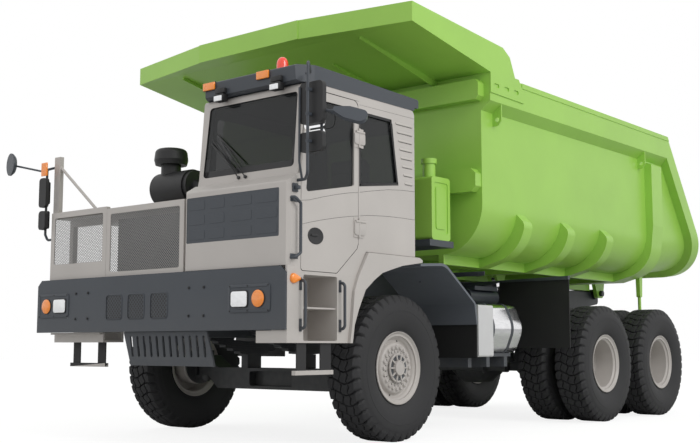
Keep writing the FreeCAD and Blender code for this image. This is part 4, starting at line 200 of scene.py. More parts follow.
glossy = {"low": 0.36, "high": 0.45, "coat": 0.12}
satin = {"low": 0.44, "high": 0.54, "coat": 0.05}
finish = {
    "bodyGreen": paintFinish("bodyGreen", (0.335, 0.610, 0.092), glossy),
    "cabGrey": paintFinish("cabGrey", (0.520, 0.490, 0.462), satin),
    "rimGrey": paintFinish("rimGrey", (0.500, 0.470, 0.445), satin),
    "paleGrey": paintFinish("paleGrey", (0.640, 0.640, 0.645), satin),
    "slate": paintFinish("slate", (0.050, 0.058, 0.070), satin),
    "screenGrey": paintFinish("screenGrey", (0.255, 0.250, 0.245), satin),
    # a lighter copy of slate for the mudguards: painted light standing in for the bounce light on their
    # shaded faces
    "guardSlatePaintedLight": paintFinish("guardSlatePaintedLight", (0.112, 0.126, 0.146), satin),
    "chassis": paintFinish("chassis", (0.017, 0.021, 0.027), satin),
    "black": plasticFinish("black", (0.014, 0.014, 0.015), 0.42, 0.6),
    "softBlack": plasticFinish("softBlack", (0.020, 0.020, 0.021), 0.6, 0.8, 120.0),
    "flap": plasticFinish("flap", (0.010, 0.010, 0.010), 0.55, 0.7, 60.0),
    "tyre": tyreFinish("tyre"),
    "tankSteel": metalFinish("tankSteel", (0.80, 0.80, 0.81), 0.08, 0.22, (30, 1, 1)),
    "rod": metalFinish("rod", (0.78, 0.78, 0.79), 0.06, 0.12),
    "cast": castFinish("cast", (0.045, 0.050, 0.055)),
    "glass": glassFinish("glass", (0.020, 0.022, 0.023)),
    "clearLens": lensFinish("clearLens", (0.86, 0.87, 0.88), 0.15, 0.5),
    "amberLens": lensFinish("amberLens", (0.90, 0.26, 0.02), 0.12, 0.5),
    "redLens": lensFinish("redLens", (0.85, 0.05, 0.02), 0.2, 0.2),
    "mirrorGlass": metalFinish("mirrorGlass", (0.90, 0.90, 0.91), 0.01, 0.03),
    "seat": plasticFinish("seat", (0.022, 0.022, 0.024), 0.8, 0.95, 400.0),
}
print("finishes ready:", len(finish))


def paintNode(name, *keys):
    mesh = nodes[name].data
    mesh.materials.clear()
    for key in keys:
        mesh.materials.append(finish[key])
    for face in mesh.polygons:
        face.material_index = 0


def paintRegion(name, low, high):
    # gives faces whose middle lies in the box the node's second material
    for face in nodes[name].data.polygons:
        c = face.center
        if all(low[i] <= c[i] <= high[i] for i in range(3)):
            face.material_index = 1


nodePaint = {
    "bodyGreen": ["dump_body", "body_ribs", "body_canopy", "rock_ejectors", "hydraulic_tank"],
    "cabGrey": ["cab_shell", "cab_door", "step_box", "front_panels", "step_ladders", "right_deck"],
    "paleGrey": ["tank_end_box"],
    "rimGrey": [n for n in nodes if "_wheel" in n],
    "slate": ["bumper", "cab_roof", "nose_panel", "skid_guard", "lamp_trays", "grab_handles",
              "side_brackets"],
    # the mudguards take the lighter slate copy, as painted light
    "guardSlatePaintedLight": ["mudguards"],
    "chassis": ["frame_rails", "bogie_mount", "springs", "drive_axles", "front_axle_beam",
                "propeller_shafts", "steering_knuckle_left", "steering_knuckle_right", "tie_rod",
                "hoist_barrels", "air_reservoirs"],
    "black": ["panel_screens", "air_cleaner", "dashboard", "steering_wheel"],
    "flap": ["mud_flaps"],
    "rod": ["hoist_stage_1", "hoist_stage_2", "hoist_stage_3"],
    "tankSteel": ["fuel_tank"],
    "glass": ["cab_windows", "door_glass"],
    "cast": ["engine", "radiator"],
    "tyre": [n for n in nodes if "_tyre" in n],
    "seat": ["driver_seat"],
    "softBlack": ["mirror_cable"],
}
for key, names in nodePaint.items():
    for name in names:
        paintNode(name, key)
paintNode("mirrors", "slate", "black")
paintNode("step_ladders", "cabGrey", "softBlack")
paintRegion("step_ladders", (-1.80, -1.85, 0.775), (1.90, -1.15, 1.000))
paintRegion("mirrors", (1.925, -1.80, 2.66), (2.225, -1.70, 3.36))
paintRegion("mirrors", (-1.90, -1.95, 2.24), (-1.74, -1.80, 2.84))

# the inside of the cab shell and door is painted black as painted shade
cabInsideShade = {"low": Vector((0.48, -1.86, 1.62)), "high": Vector((1.852, 0.06, 3.40)),
             "middle": Vector((1.18, -0.90, 2.45)), "spread": 0.25}


def paintCabInsideShade(name):
    # the faces turned to the middle of the cab are painted black: painted shade inside the cab
    paintNode(name, "cabGrey", "black")
    low, high = cabInsideShade["low"], cabInsideShade["high"]
    for face in nodes[name].data.polygons:
        c = face.center
        inside = all(low[i] < c[i] < high[i] for i in range(3))
        toMiddle = cabInsideShade["middle"] - c
        if inside and face.normal.dot(toMiddle) > cabInsideShade["spread"] * toMiddle.length:
            face.material_index = 1


paintCabInsideShade("cab_shell")
paintCabInsideShade("cab_door")
print("parts painted")


def movedTo(bm, matrix):
    bmesh.ops.transform(bm, matrix=matrix, verts=bm.verts)
    return bm


def facing(spot, direction, roll=0.0):
    # a matrix that stands a shape's Z along the direction, at the spot
    turn = Vector(direction).to_track_quat("Z", "Y").to_matrix().to_4x4()
    return Matrix.Translation(spot) @ turn @ Matrix.Rotation(roll, 4, "Z")


def upright(x, y, z):
    # stands a flat shape up, so that its Z looks to the front
    return Matrix.Translation((x, y, z)) @ Matrix.Rotation(math.radians(90), 4, "X")


def joinTo(target, part, matrix=None, mat=0):
    for face in part.faces:
        face.material_index = mat
    if matrix is not None:
        movedTo(part, matrix)
    spare = bpy.data.meshes.new("spare")
    part.to_mesh(spare)
    part.free()
    target.from_mesh(spare)
    bpy.data.meshes.remove(spare)


def closePiece(name, bm, body, *keys, slotName=None, sharp=30):
    bmesh.ops.recalc_face_normals(bm, faces=bm.faces)
    for face in bm.faces:
        face.smooth = True
    for edge in bm.edges:
        edge.smooth = edge.calc_face_angle(3.0) < math.radians(sharp)
    mesh = bpy.data.meshes.new(name)
    bm.to_mesh(mesh)
    bm.free()
    for key in keys:
        mesh.materials.append(finish[key])
    piece = bpy.data.objects.new(name, mesh)
    bpy.context.scene.collection.objects.link(piece)
    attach(piece, body)
    return piece


def softBlock(low, high, edge=0.003, steps=2):
    # a block with rounded edges between two corners
    low, high = Vector(low), Vector(high)
    bm = bmesh.new()
    grow = Matrix.Diagonal((*(high - low), 1))
    bmesh.ops.create_cube(bm, size=1, matrix=Matrix.Translation((low + high) / 2) @ grow)
    bmesh.ops.bevel(bm, geom=list(bm.edges), offset=edge, offset_type="OFFSET", segments=steps,
                    profile=0.5, affect="EDGES", material=-1, clamp_overlap=True)
    return bm


def addBlock(target, low, high, edge=0.003, mat=0, steps=2):
    joinTo(target, softBlock(low, high, edge, steps), mat=mat)


def softPlate(width, height, thick, corner, edge=0.002, corners=4):
    # a flat plate with round corners, its back on Z 0
    bm = bmesh.new()
    grow = Matrix.Diagonal((width, height, thick, 1))
    bmesh.ops.create_cube(bm, size=1, matrix=Matrix.Translation((0, 0, thick / 2)) @ grow)
    posts = [e for e in bm.edges if abs(e.verts[0].co.z - e.verts[1].co.z) > thick / 2]
    bmesh.ops.bevel(bm, geom=posts, offset=corner, offset_type="OFFSET", segments=corners,
                    profile=0.5, affect="EDGES", material=-1)
    if edge:
        rim = [e for e in bm.edges if all(v.co.z > thick * 0.99 for v in e.verts)]
        bmesh.ops.bevel(bm, geom=rim, offset=edge, offset_type="OFFSET", segments=2,
                        profile=0.5, affect="EDGES", material=-1)
    return bm


def lathe(profile, steps=32):
    # turns (radius, height) points about Z; ends on the axis close up
    bm = bmesh.new()
    verts = [bm.verts.new((r, 0, h)) for r, h in profile]
    edges = [bm.edges.new(pair) for pair in zip(verts, verts[1:])]
    bmesh.ops.spin(bm, geom=verts + edges, cent=(0, 0, 0), axis=(0, 0, 1), steps=steps,
                   angle=math.tau, use_merge=True)
    bmesh.ops.remove_doubles(bm, verts=bm.verts, dist=0.00002)
    bmesh.ops.recalc_face_normals(bm, faces=bm.faces)
    return bm


def pin(radius, length, steps=20, edge=0.001):
    return lathe([(0, 0), (radius, 0), (radius, length - edge), (radius - edge, length),
                  (0, length)], steps)


def hexBolt(radius, height):
    bm = pin(radius * 1.25, height * 0.25, 18, height * 0.05)
    head = bmesh.new()
    bmesh.ops.create_cone(head, cap_ends=True, segments=6, radius1=radius, radius2=radius,
                          depth=height * 0.8, matrix=Matrix.Translation((0, 0, height * 0.6)))
    top = [e for e in head.edges if all(v.co.z > height * 0.99 for v in e.verts)]
    bmesh.ops.bevel(head, geom=top, offset=radius * 0.14, offset_type="OFFSET", segments=1,
                    profile=0.5, affect="EDGES", material=-1)
    joinTo(bm, head)
    return bm


def boltRow(bm, spots, direction, radius, height):
    # each bolt's flats sit turned a little further than the last
    for i, spot in enumerate(spots):
        joinTo(bm, hexBolt(radius, height), facing(spot, direction, i * 0.4))


def meshPanel(x0, x1, z0, z1, y, net, corner=0.0):
    # punched sheet: a grid stood on its corner, trimmed to the opening, with every cell opened
    hole = net["hole"]
    width, height = x1 - x0, z1 - z0
    reach = (width + height) * 0.75
    count = round(reach / hole)
    bm = bmesh.new()
    bmesh.ops.create_grid(bm, x_segments=count, y_segments=count, size=count * hole / 2,
                          matrix=Matrix.Rotation(math.radians(45), 4, "Z"))
    cuts = [((width / 2, 0, 0), (1, 0, 0)), ((-width / 2, 0, 0), (-1, 0, 0)),
            ((0, height / 2, 0), (0, 1, 0)), ((0, -height / 2, 0), (0, -1, 0))]
    if corner:
        for sx in (-1, 1):
            for sy in (-1, 1):
                spot = (sx * (width / 2 - corner / 2), sy * (height / 2 - corner / 2), 0)
                cuts.append((spot, (sx, sy, 0)))
    for spot, way in cuts:
        bmesh.ops.bisect_plane(bm, geom=bm.verts[:] + bm.edges[:] + bm.faces[:], dist=0.0001,
                               plane_co=spot, plane_no=way, clear_outer=True)
    whole = [f for f in bm.faces if f.calc_area() >= (hole * hole) * 0.25]
    bmesh.ops.inset_individual(bm, faces=whole, thickness=net["wire"], depth=0.0)
    bmesh.ops.delete(bm, geom=whole, context="FACES")
    bmesh.ops.recalc_face_normals(bm, faces=bm.faces)
    bmesh.ops.solidify(bm, geom=bm.faces[:], thickness=net["thick"])
    return movedTo(bm, upright((x0 + x1) / 2, y, (z0 + z1) / 2))


tyre = {"radius": 0.7475, "half": 0.215, "pitches": 40, "steps": 4, "groove": 0.0085, "seam": 0.0006,
        "depth": 0.024, "shoulderDepth": 0.014, "lugFoot": 0.650, "lugRise": 0.062, "crown": 0.012,
        "flare": 0.010, "skew": 0.272, "zigzag": 0.013, "shoulderGap": 0.26, "topInset": 0.0022,
        "topRise": 0.0018}
# (x, radius) from the middle of the tread to the bead, at the foot of the grooves
tyreProfile = [(0.0, 0.7235), (0.044, 0.7235), (0.088, 0.7230), (0.128, 0.7180), (0.160, 0.7060),
               (0.186, 0.6820), (0.1965, 0.6650), (0.2030, 0.6560), (0.2085, 0.6440), (0.2120, 0.6260),
               (0.2140, 0.6000), (0.2150, 0.5830), (0.2132, 0.5815), (0.2132, 0.5785), (0.2150, 0.5770),
               (0.2135, 0.5400), (0.2080, 0.5000), (0.1970, 0.4560), (0.1830, 0.4180), (0.1700, 0.3960),
               (0.1640, 0.3890), (0.1640, 0.3790), (0.1500, 0.3722), (0.1400, 0.3262)]
# the tread's rows of lugs, as spans of profile points; negative is the far side
tyreRows = [(-7, -2), (-2, 0), (0, 2), (2, 7)]


def turnOf(co):
    return math.atan2(-co.y, co.z)


def reachOf(co):
    return math.hypot(co.y, co.z)


def rise(value, start, span):
    # 0 up to start, then evenly up to 1 over the span
    return min(1.0, max(0.0, value - start) / span)


def pushTo(v, reach):
    # moves a point to a distance from the wheel's axis
    share = reach / reachOf(v.co)
    v.co.y *= share
    v.co.z *= share


def makeTyre():
    outline = [(-x, r) for x, r in reversed(tyreProfile[1:])] + tyreProfile
    wedge = math.tau / tyre["pitches"]
    bm = bmesh.new()
    verts = [bm.verts.new((x, 0, r)) for x, r in outline]
    edges = [bm.edges.new(pair) for pair in zip(verts, verts[1:])]
    bmesh.ops.spin(bm, geom=verts + edges, cent=(0, 0, 0), axis=(1, 0, 0), steps=tyre["steps"],
                   angle=wedge)
    column = {v: min(range(len(tyreProfile)), key=lambda k: abs(tyreProfile[k][0] - abs(v.co.x))
                     + abs(tyreProfile[k][1] - reachOf(v.co))) for v in bm.verts}
    lugs = []
    for low, high in tyreRows:
        found = []
        for face in bm.faces:
            spots = [column[v] * (1 if v.co.x > -0.0001 else -1) for v in face.verts]
            if min(spots) >= low and max(spots) <= high:
                found.append(face)
        lugs.append(found)
    # grooves slant across the tread and wander from side to side
    for v in bm.verts:
        x, turn, reach = v.co.x, turnOf(v.co), reachOf(v.co)
        fade = 1 - rise(abs(x), 0.17, 0.035)
        wave = math.sin(turn / wedge * math.tau)
        shift = tyre["zigzag"] * wave * fade if column[v] in (0, 2) else 0.0
        lean = tyre["skew"] * math.sin(x / 0.088 * math.pi / 2 + 0.5) * wedge * fade
        v.co = Vector((x + shift, -math.sin(turn + lean) * reach, math.cos(turn + lean) * reach))
    for found in lugs:
        bmesh.ops.inset_region(bm, faces=found, thickness=tyre["groove"], depth=0.0,
                               use_boundary=True, use_even_offset=True)
        tops = {v for f in found for v in f.verts}
        for v in tops:
            x, reach = abs(v.co.x), reachOf(v.co)
            lift = rise(reach, tyre["lugFoot"], tyre["lugRise"]) ** 0.8
            deep = tyre["depth"] + tyre["shoulderDepth"] * rise(x, 0.115, 0.04)
            pushTo(v, min(reach + deep * lift, tyre["radius"] - tyre["crown"] * (x / 0.2) ** 4))
            v.co.x += math.copysign(tyre["flare"] * lift * rise(x, 0.15, 0.03), v.co.x)
        if max(abs(v.co.x) for v in tops) > 0.15:
            # the shoulder lugs stand clear of each other; sorted, so that each run gives the same sum
            middle = sum(sorted(turnOf(v.co) for v in tops)) / len(tops)
            for v in tops:
                turn, reach = turnOf(v.co), reachOf(v.co)
                draw = tyre["shoulderGap"] * rise(abs(v.co.x), 0.125, 0.045)
                turn = middle + (turn - middle) * (1 - draw)
                v.co.y = -math.sin(turn) * reach
                v.co.z = math.cos(turn) * reach
        bmesh.ops.inset_region(bm, faces=found, thickness=tyre["topInset"], depth=0.0,
                               use_even_offset=True)
        for v in {v for f in found for v in f.verts}:
            pushTo(v, reachOf(v.co) + tyre["topRise"])
    for v in bm.verts:
        if reachOf(v.co) > tyre["radius"]:
            pushTo(v, tyre["radius"])
    bmesh.ops.spin(bm, geom=bm.verts[:] + bm.edges[:] + bm.faces[:], cent=(0, 0, 0), axis=(1, 0, 0),
                   steps=tyre["pitches"] - 1, angle=wedge * (tyre["pitches"] - 1), use_duplicate=True)
    # points that meet take the outer one's place, so that their order doesn't matter
    doubles = bmesh.ops.find_doubles(bm, verts=bm.verts, dist=tyre["seam"])["targetmap"]
    for v, kept in doubles.items():
        if reachOf(v.co) > reachOf(kept.co):
            kept.co = v.co
    bmesh.ops.weld_verts(bm, targetmap=doubles)
    return bm


for side in ("left", "right"):
    for axle, many in (("front", ""), ("mid", "s"), ("rear", "s")):
        node = f"{axle}_tyre{many}_{side}"
        low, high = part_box(node)
        if many:
            across = [low.x + tyre["half"], high.x - tyre["half"]]
        else:
            across = [(low.x + high.x) / 2]
        treadBm = bmesh.new()
        for x in across:
            mirror = Matrix.Diagonal((math.copysign(1, x), 1, 1, 1))
            middle = Matrix.Translation((x, (low.y + high.y) / 2, tyre["radius"]))
            joinTo(treadBm, makeTyre(), middle @ mirror)
        tread = closePiece(f"{axle}_tread_{side}", treadBm, f"{axle}_wheel{many}_{side}", "tyre", sharp=26)
        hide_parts(node)
print("tyres made")

wheel = {"nuts": 20, "nutCircle": 0.212, "nutRadius": 0.0205, "studCircle": 0.174, "ribs": 10,
         "rearNutCircle": 0.168, "holes": 6, "holeRadius": 0.0125, "frontHoleCircle": 0.281,
         "rearHoleCircle": 0.285, "capBolts": 12, "capCircle": 0.120,
         "frontX": 1.522, "dualX": 1.5405, "dualHalf": 0.2635}
# (radius, reach outward) of the flanged rim, from the lip over the tyre's seat to the far lip
rimSeat = [(0.366, 0.176), (0.3715, 0.1745), (0.3715, 0.1640), (0.3665, 0.1620), (0.3560, 0.1560),
           (0.3255, 0.1540), (0.3255, -0.1540), (0.3560, -0.1560), (0.3715, -0.1640), (0.3715, -0.1745),
           (0.366, -0.176)]
rimGutter = [(0.296, 0.104), (0.303, 0.119), (0.309, 0.126), (0.338, 0.147), (0.358, 0.166), (0.366, 0.176)]


def wheelRing(bm, profile, x, y, sign, mat=0, steps=72):
    joinTo(bm, lathe(profile, steps), facing((x, y, tyre["radius"]), (sign, 0, 0)), mat)


def aroundWheel(count, circle, x, y, start=0.0):
    # equal places on a circle about the wheel's axis
    for i in range(count):
        turn = start + math.tau * i / count
        yield turn, Vector((x, y + math.cos(turn) * circle, tyre["radius"] + math.sin(turn) * circle))


def hubRibs(bm, low, high, x, y, sign):
    for i in range(wheel["ribs"]):
        turn = Matrix.Rotation(math.tau * (i + 0.5) / wheel["ribs"], 4, "Z")
        joinTo(bm, softBlock(low, high, 0.004), facing((x, y, tyre["radius"]), (sign, 0, 0)) @ turn)


def holeShadeDiscs(bm, circle, x, y, sign):
    # the holes are thin black discs on the dish: painted shade where one would see through
    hole = wheel["holeRadius"]
    for turn, spot in aroundWheel(wheel["holes"], circle, x, y, 0.3):
        disc = lathe([(0, 0), (hole, 0), (hole, 0.0012), (0, 0.0012)], 18)
        joinTo(bm, disc, facing(spot, (sign, 0, 0)), 1)


def frontWheel(side, sign):
    bm = bmesh.new()
    middle = wheel["frontX"] * sign
    rimFront = rimSeat + [(0.350, -0.164), (0.314, -0.140), (0.303, -0.080), (0.303, 0.040),
                          (0.262, 0.080), (0.236, 0.102), (0.108, 0.104), (0.108, 0.132),
                          (0.118, 0.140), (0.234, 0.140), (0.246, 0.137), (0.257, 0.129),
                          (0.2635, 0.116), (0.268, 0.104), (0.275, 0.098), (0.287, 0.098)] + rimGutter
    wheelRing(bm, rimFront, middle, 0, sign)
    drum = [(0, 0.120), (0.070, 0.120), (0.070, -0.214), (0.214, -0.214), (0.224, -0.208), (0.224, -0.056),
            (0.217, -0.047), (0.150, -0.040), (0.142, 0.098), (0.107, 0.099), (0.107, 0.150),
            (0.148, 0.152), (0.150, 0.156), (0.150, 0.167), (0.147, 0.172), (0.138, 0.174), (0.131, 0.169),
            (0.078, 0.161), (0.078, 0.186), (0.075, 0.193), (0.067, 0.195), (0.063, 0.191), (0, 0.191)]
    wheelRing(bm, drum, middle, 0, sign)
    # a thin slate ring on the drum face between the hub's ribs: painted shade in the recesses between them
    wheelRing(bm, [(0.083, 0.1625), (0.128, 0.1695), (0.128, 0.1702), (0.083, 0.1632), (0.083, 0.1625)],
              middle, 0, sign, 2)
    face = middle + 0.140 * sign
    for turn, spot in aroundWheel(wheel["nuts"], wheel["nutCircle"], face, 0):
        r = wheel["nutRadius"]
        nut = lathe([(0, 0), (r + 0.004, 0), (r + 0.004, 0.004), (r, 0.006), (r, 0.014),
                     (r - 0.005, 0.019), (0.008, 0.019), (0.007, 0.017), (0, 0.017)], 16)
        joinTo(bm, nut, facing(spot, (sign, 0, 0)))
    halfStep = math.tau / wheel["nuts"] / 2
    for turn, spot in aroundWheel(wheel["nuts"], wheel["studCircle"], face, 0, halfStep):
        joinTo(bm, pin(0.006, 0.008, 10), facing(spot, (sign, 0, 0)))
        # each slot is a thin black plate: painted shade in the slot
        slotShade = softBlock((-0.017, -0.0045, 0), (0.017, 0.0045, 0.0012), 0.0005, 1)
        joinTo(bm, slotShade, facing(spot, (sign, 0, 0), turn * sign), 1)
    holeShadeDiscs(bm, wheel["frontHoleCircle"], middle + 0.0978 * sign, 0, sign)
    hubRibs(bm, (-0.008, 0.074, -0.004), (0.008, 0.143, 0.030), middle + 0.152 * sign, 0, sign)
    piece = closePiece(f"front_rim_{side}", bm, f"front_wheel_{side}", "rimGrey", "black", "slate")
    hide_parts(f"front_wheel_{side}")


def twinWheels(axle, side, sign):
    # two dished rims back to back on the reduction hub, with its drum inboard
    low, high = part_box(f"{axle}_wheels_{side}")
    middleY = (low.y + high.y) / 2
    mate = wheel["dualX"] * sign
    half = wheel["dualHalf"]
    bm = bmesh.new()
    dish = rimSeat + [(0.344, -0.170), (0.318, -0.178), (0.303, -0.191), (0.262, -0.228), (0.219, -0.2605),
                      (0.112, -0.2625), (0.112, -0.236), (0.205, -0.235), (0.217, -0.231), (0.262, -0.190),
                      (0.285, -0.160), (0.297, -0.136), (0.303, -0.116), (0.303, 0.090)] + rimGutter[1:]
    wheelRing(bm, dish, mate + half * sign, middleY, sign)
    wheelRing(bm, dish, mate - half * sign, middleY, -sign)
    hub = [(0, 0.160), (0.090, 0.160), (0.090, -0.505), (0.214, -0.505), (0.224, -0.498), (0.224, -0.326),
           (0.216, -0.318), (0.160, -0.312), (0.149, -0.296), (0.149, -0.036), (0.110, -0.031),
           (0.110, 0.140), (0.117, 0.150), (0.131, 0.150), (0.131, 0.168), (0.127, 0.172), (0.116, 0.173),
           (0.104, 0.181), (0.084, 0.189), (0.078, 0.190), (0.074, 0.186), (0, 0.186)]
    wheelRing(bm, hub, mate, middleY, sign)
    for turn, spot in aroundWheel(wheel["nuts"], wheel["rearNutCircle"], mate + 0.0275 * sign, middleY):
        joinTo(bm, hexBolt(0.016, 0.030), facing(spot, (sign, 0, 0), turn))
    hubRibs(bm, (-0.007, 0.105, 0.0), (0.007, 0.146, 0.116), mate + 0.028 * sign, middleY, sign)
    for turn, spot in aroundWheel(wheel["capBolts"], wheel["capCircle"], mate + 0.172 * sign, middleY):
        joinTo(bm, hexBolt(0.008, 0.010), facing(spot, (sign, 0, 0), turn))
    holeShadeDiscs(bm, wheel["rearHoleCircle"], mate + (half - 0.1545) * sign, middleY, sign)
    piece = closePiece(f"{axle}_rims_{side}", bm, f"{axle}_wheels_{side}", "rimGrey", "black")
    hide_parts(f"{axle}_wheels_{side}")


for side, sign in (("left", 1), ("right", -1)):
    frontWheel(side, sign)
    for axle in ("mid", "rear"):
        twinWheels(axle, side, sign)
print("wheels made")

screen = {"y": -1.8445, "openings": ((-1.668, -0.786, 1.842, 2.352), (-0.684, 0.411, 1.722, 2.356)),
          "hole": 0.0205, "wire": 0.0050, "thick": 0.0015}
screenBm = bmesh.new()
for x0, x1, z0, z1 in screen["openings"]:
    joinTo(screenBm, meshPanel(x0, x1, z0, z1, screen["y"], screen))
screens = closePiece("grille_screens", screenBm, "chassis", "screenGrey")
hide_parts("panel_screens")

bumper = {"face": -1.892, "vents": (-0.530, -0.181, 0.169), "ventHalf": 0.120, "ventLow": 1.245,
          "ventHigh": 1.488, "boltColumns": (-1.173, -0.966, 0.602, 0.811), "boltRows": (1.256, 1.525),
          "hole": 0.030, "wire": 0.0056, "thick": 0.002}
ventBm = bmesh.new()
width = bumper["ventHalf"] * 2
height = bumper["ventHigh"] - bumper["ventLow"]
for x in bumper["vents"]:
    place = upright(x, bumper["face"], (bumper["ventLow"] + bumper["ventHigh"]) / 2)
    # a black plate behind each mesh: painted shade in the vent's recess
    joinTo(ventBm, softPlate(width, height, 0.0016, 0.035, 0.0, 2), place, 1)
    joinTo(ventBm, meshPanel(x - width / 2, x + width / 2, bumper["ventLow"], bumper["ventHigh"],
                             bumper["face"] - 0.0022, bumper, 0.03))
    surround = softPlate(width + 0.022, height + 0.022, 0.004, 0.04, 0.0015, 3)
    inner = [f for f in surround.faces if f.normal.z > 0.9]
    bmesh.ops.inset_region(surround, faces=inner, thickness=0.009, depth=0.0)
    # only the rim is kept
    front = max(surround.faces, key=lambda f: f.calc_area() if f.normal.z > 0.9 else 0)
    back = max(surround.faces, key=lambda f: f.calc_area() if f.normal.z < -0.9 else 0)
    bmesh.ops.delete(surround, geom=[front, back], context="FACES")
    joinTo(ventBm, surround, place)
for x in bumper["boltColumns"]:
    for z in bumper["boltRows"]:
        joinTo(ventBm, pin(0.019, 0.003), facing((x, bumper["face"], z), (0, -1, 0)))
        joinTo(ventBm, hexBolt(0.011, 0.009), facing((x, bumper["face"] - 0.003, z), (0, -1, 0)), 1)
# cover between the vents and the right lamp tray
addBlock(ventBm, (-1.314, -1.8918, 1.268), (-1.144, -1.874, 1.536), 0.002, steps=1)
closePiece("bumper_vents", ventBm, "chassis", "slate", "black")

headLamp = {"trayX": 1.414, "trayZ": 1.402, "lampX": 1.296, "turnX": 1.536, "lampZ": 1.398,
            "boltX": (1.170, 1.400, 1.660), "boltZ": (1.288, 1.516), "rightShift": -0.150}


def lampSet(name, offset, mirror):
    # tray, square head lamp and round turn lamp, drawn at the left and moved into place
    bm = bmesh.new()
    flip = Matrix.Translation((offset, 0, 0)) @ Matrix.Diagonal((mirror, 1, 1, 1))
    z = headLamp["lampZ"]
    tray = softPlate(0.540, 0.262, 0.014, 0.035, 0.008, 4)
    inner = [f for f in tray.faces if f.normal.z > 0.9 and f.calc_area() > 0.02]
    bmesh.ops.inset_region(tray, faces=inner, thickness=0.020, depth=0.0)
    bmesh.ops.inset_region(tray, faces=inner, thickness=0.004, depth=-0.005)
    joinTo(bm, tray, flip @ upright(headLamp["trayX"], -1.8885, headLamp["trayZ"]))
    for boltX in headLamp["boltX"]:
        for boltZ in headLamp["boltZ"]:
            joinTo(bm, pin(0.008, 0.0035, 12), flip @ facing((boltX, -1.9025, boltZ), (0, -1, 0)), 3)
    lampBody = softPlate(0.222, 0.160, 0.010, 0.030, 0.003, 4)
    joinTo(bm, lampBody, flip @ upright(headLamp["lampX"], -1.8965, z), 3)
    glass = softPlate(0.204, 0.142, 0.010, 0.026, 0.005, 4)
    joinTo(bm, glass, flip @ upright(headLamp["lampX"], -1.9045, z), 1)
    bezel = lathe([(0.084, 0), (0.084, 0.006), (0.079, 0.009), (0.0, 0.009)], 32)
    joinTo(bm, bezel, flip @ facing((headLamp["turnX"], -1.8965, z), (0, -1, 0)), 3)
    dome = lathe([(0.078, 0.0), (0.078, 0.010), (0.072, 0.015), (0.050, 0.020), (0.022, 0.022),
                  (0.0, 0.0225)], 32)
    joinTo(bm, dome, flip @ facing((headLamp["turnX"], -1.8985, z), (0, -1, 0)), 2)
    return closePiece(name, bm, "chassis", "slate", "clearLens", "amberLens", "black", slotName="lamp")


leftLamps = lampSet("head_lamps_left", 0.0, 1)
lampSet("head_lamps_right", headLamp["rightShift"], -1)
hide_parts("lamps", "lamp_trays")

cabFront = {"markers": ((0.552, 0.714), (1.293, 1.451)), "workLamps": (0.806, 1.560),
            "beacon": (1.254, -1.300, 3.560)}
trimBm = bmesh.new()
for x0, x1 in cabFront["markers"]:
    addBlock(trimBm, (x0, -1.712, 3.492), (x1, -1.690, 3.568), 0.006, 1)
    addBlock(trimBm, (x0 - 0.006, -1.696, 3.486), (x1 + 0.006, -1.688, 3.574))
for x in cabFront["workLamps"]:
    addBlock(trimBm, (x - 0.062, -1.728, 3.432), (x + 0.062, -1.640, 3.486), 0.006)
    addBlock(trimBm, (x - 0.062, -1.742, 3.350), (x + 0.062, -1.662, 3.424), 0.009)
    addBlock(trimBm, (x - 0.052, -1.752, 3.352), (x + 0.052, -1.738, 3.404), 0.005, 2)
    addBlock(trimBm, (x - 0.014, -1.706, 3.418), (x + 0.014, -1.680, 3.440))
closePiece("visor_lamps", trimBm, "chassis", "black", "amberLens", "clearLens", slotName="lamp")

beaconBm = bmesh.new()
beaconSpot = Matrix.Translation(cabFront["beacon"])
joinTo(beaconBm, lathe([(0, 0), (0.070, 0), (0.070, 0.030), (0.063, 0.042), (0.0, 0.042)], 36),
       beaconSpot, 1)
joinTo(beaconBm, lathe([(0.058, 0.040), (0.0595, 0.130), (0.0585, 0.175), (0.054, 0.203), (0.043, 0.226),
                        (0.026, 0.241), (0.0, 0.247)], 36), beaconSpot)
closePiece("roof_beacon", beaconBm, "chassis", "redLens", "black")

# the screen's black band follows the glass, which leans back
glassLow = Vector((0, -1.6905, 2.604))
glassHigh = Vector((0, -1.6085, 3.331))
lean = (glassHigh - glassLow).normalized()
outward = Vector((0, -lean.z, lean.y))
screenTurn = Matrix(((1, 0, 0, 0), (0, lean.y, outward.y, 0), (0, lean.z, outward.z, 0), (0, 0, 0, 1)))


def onScreen(x, up, out):
    # a spot on the windscreen: across, up along the glass, and out from it
    spot = glassLow + lean * up + outward * out
    return Vector((x, spot.y, spot.z))


bandBm = bmesh.new()
band = {"left": 0.575, "right": 1.770, "low": 0.010, "high": 0.718, "leftWidth": 0.058,
        "rightWidth": 0.030, "lowWidth": 0.060, "highWidth": 0.016}
left, right, low, high = (band[edge] for edge in ("left", "right", "low", "high"))
for x0, x1, u0, u1 in ((left, left + band["leftWidth"], low, high),
                       (right - band["rightWidth"], right, low, high),
                       (left, right, low, low + band["lowWidth"]),
                       (left, right, high - band["highWidth"], high)):
    strip = softBlock((x0, u0, 0.0), (x1, u1, 0.0012), 0.0004, 1)
    joinTo(bandBm, strip, Matrix.Translation(glassLow) @ screenTurn)
closePiece("screen_band", bandBm, "chassis", "black")

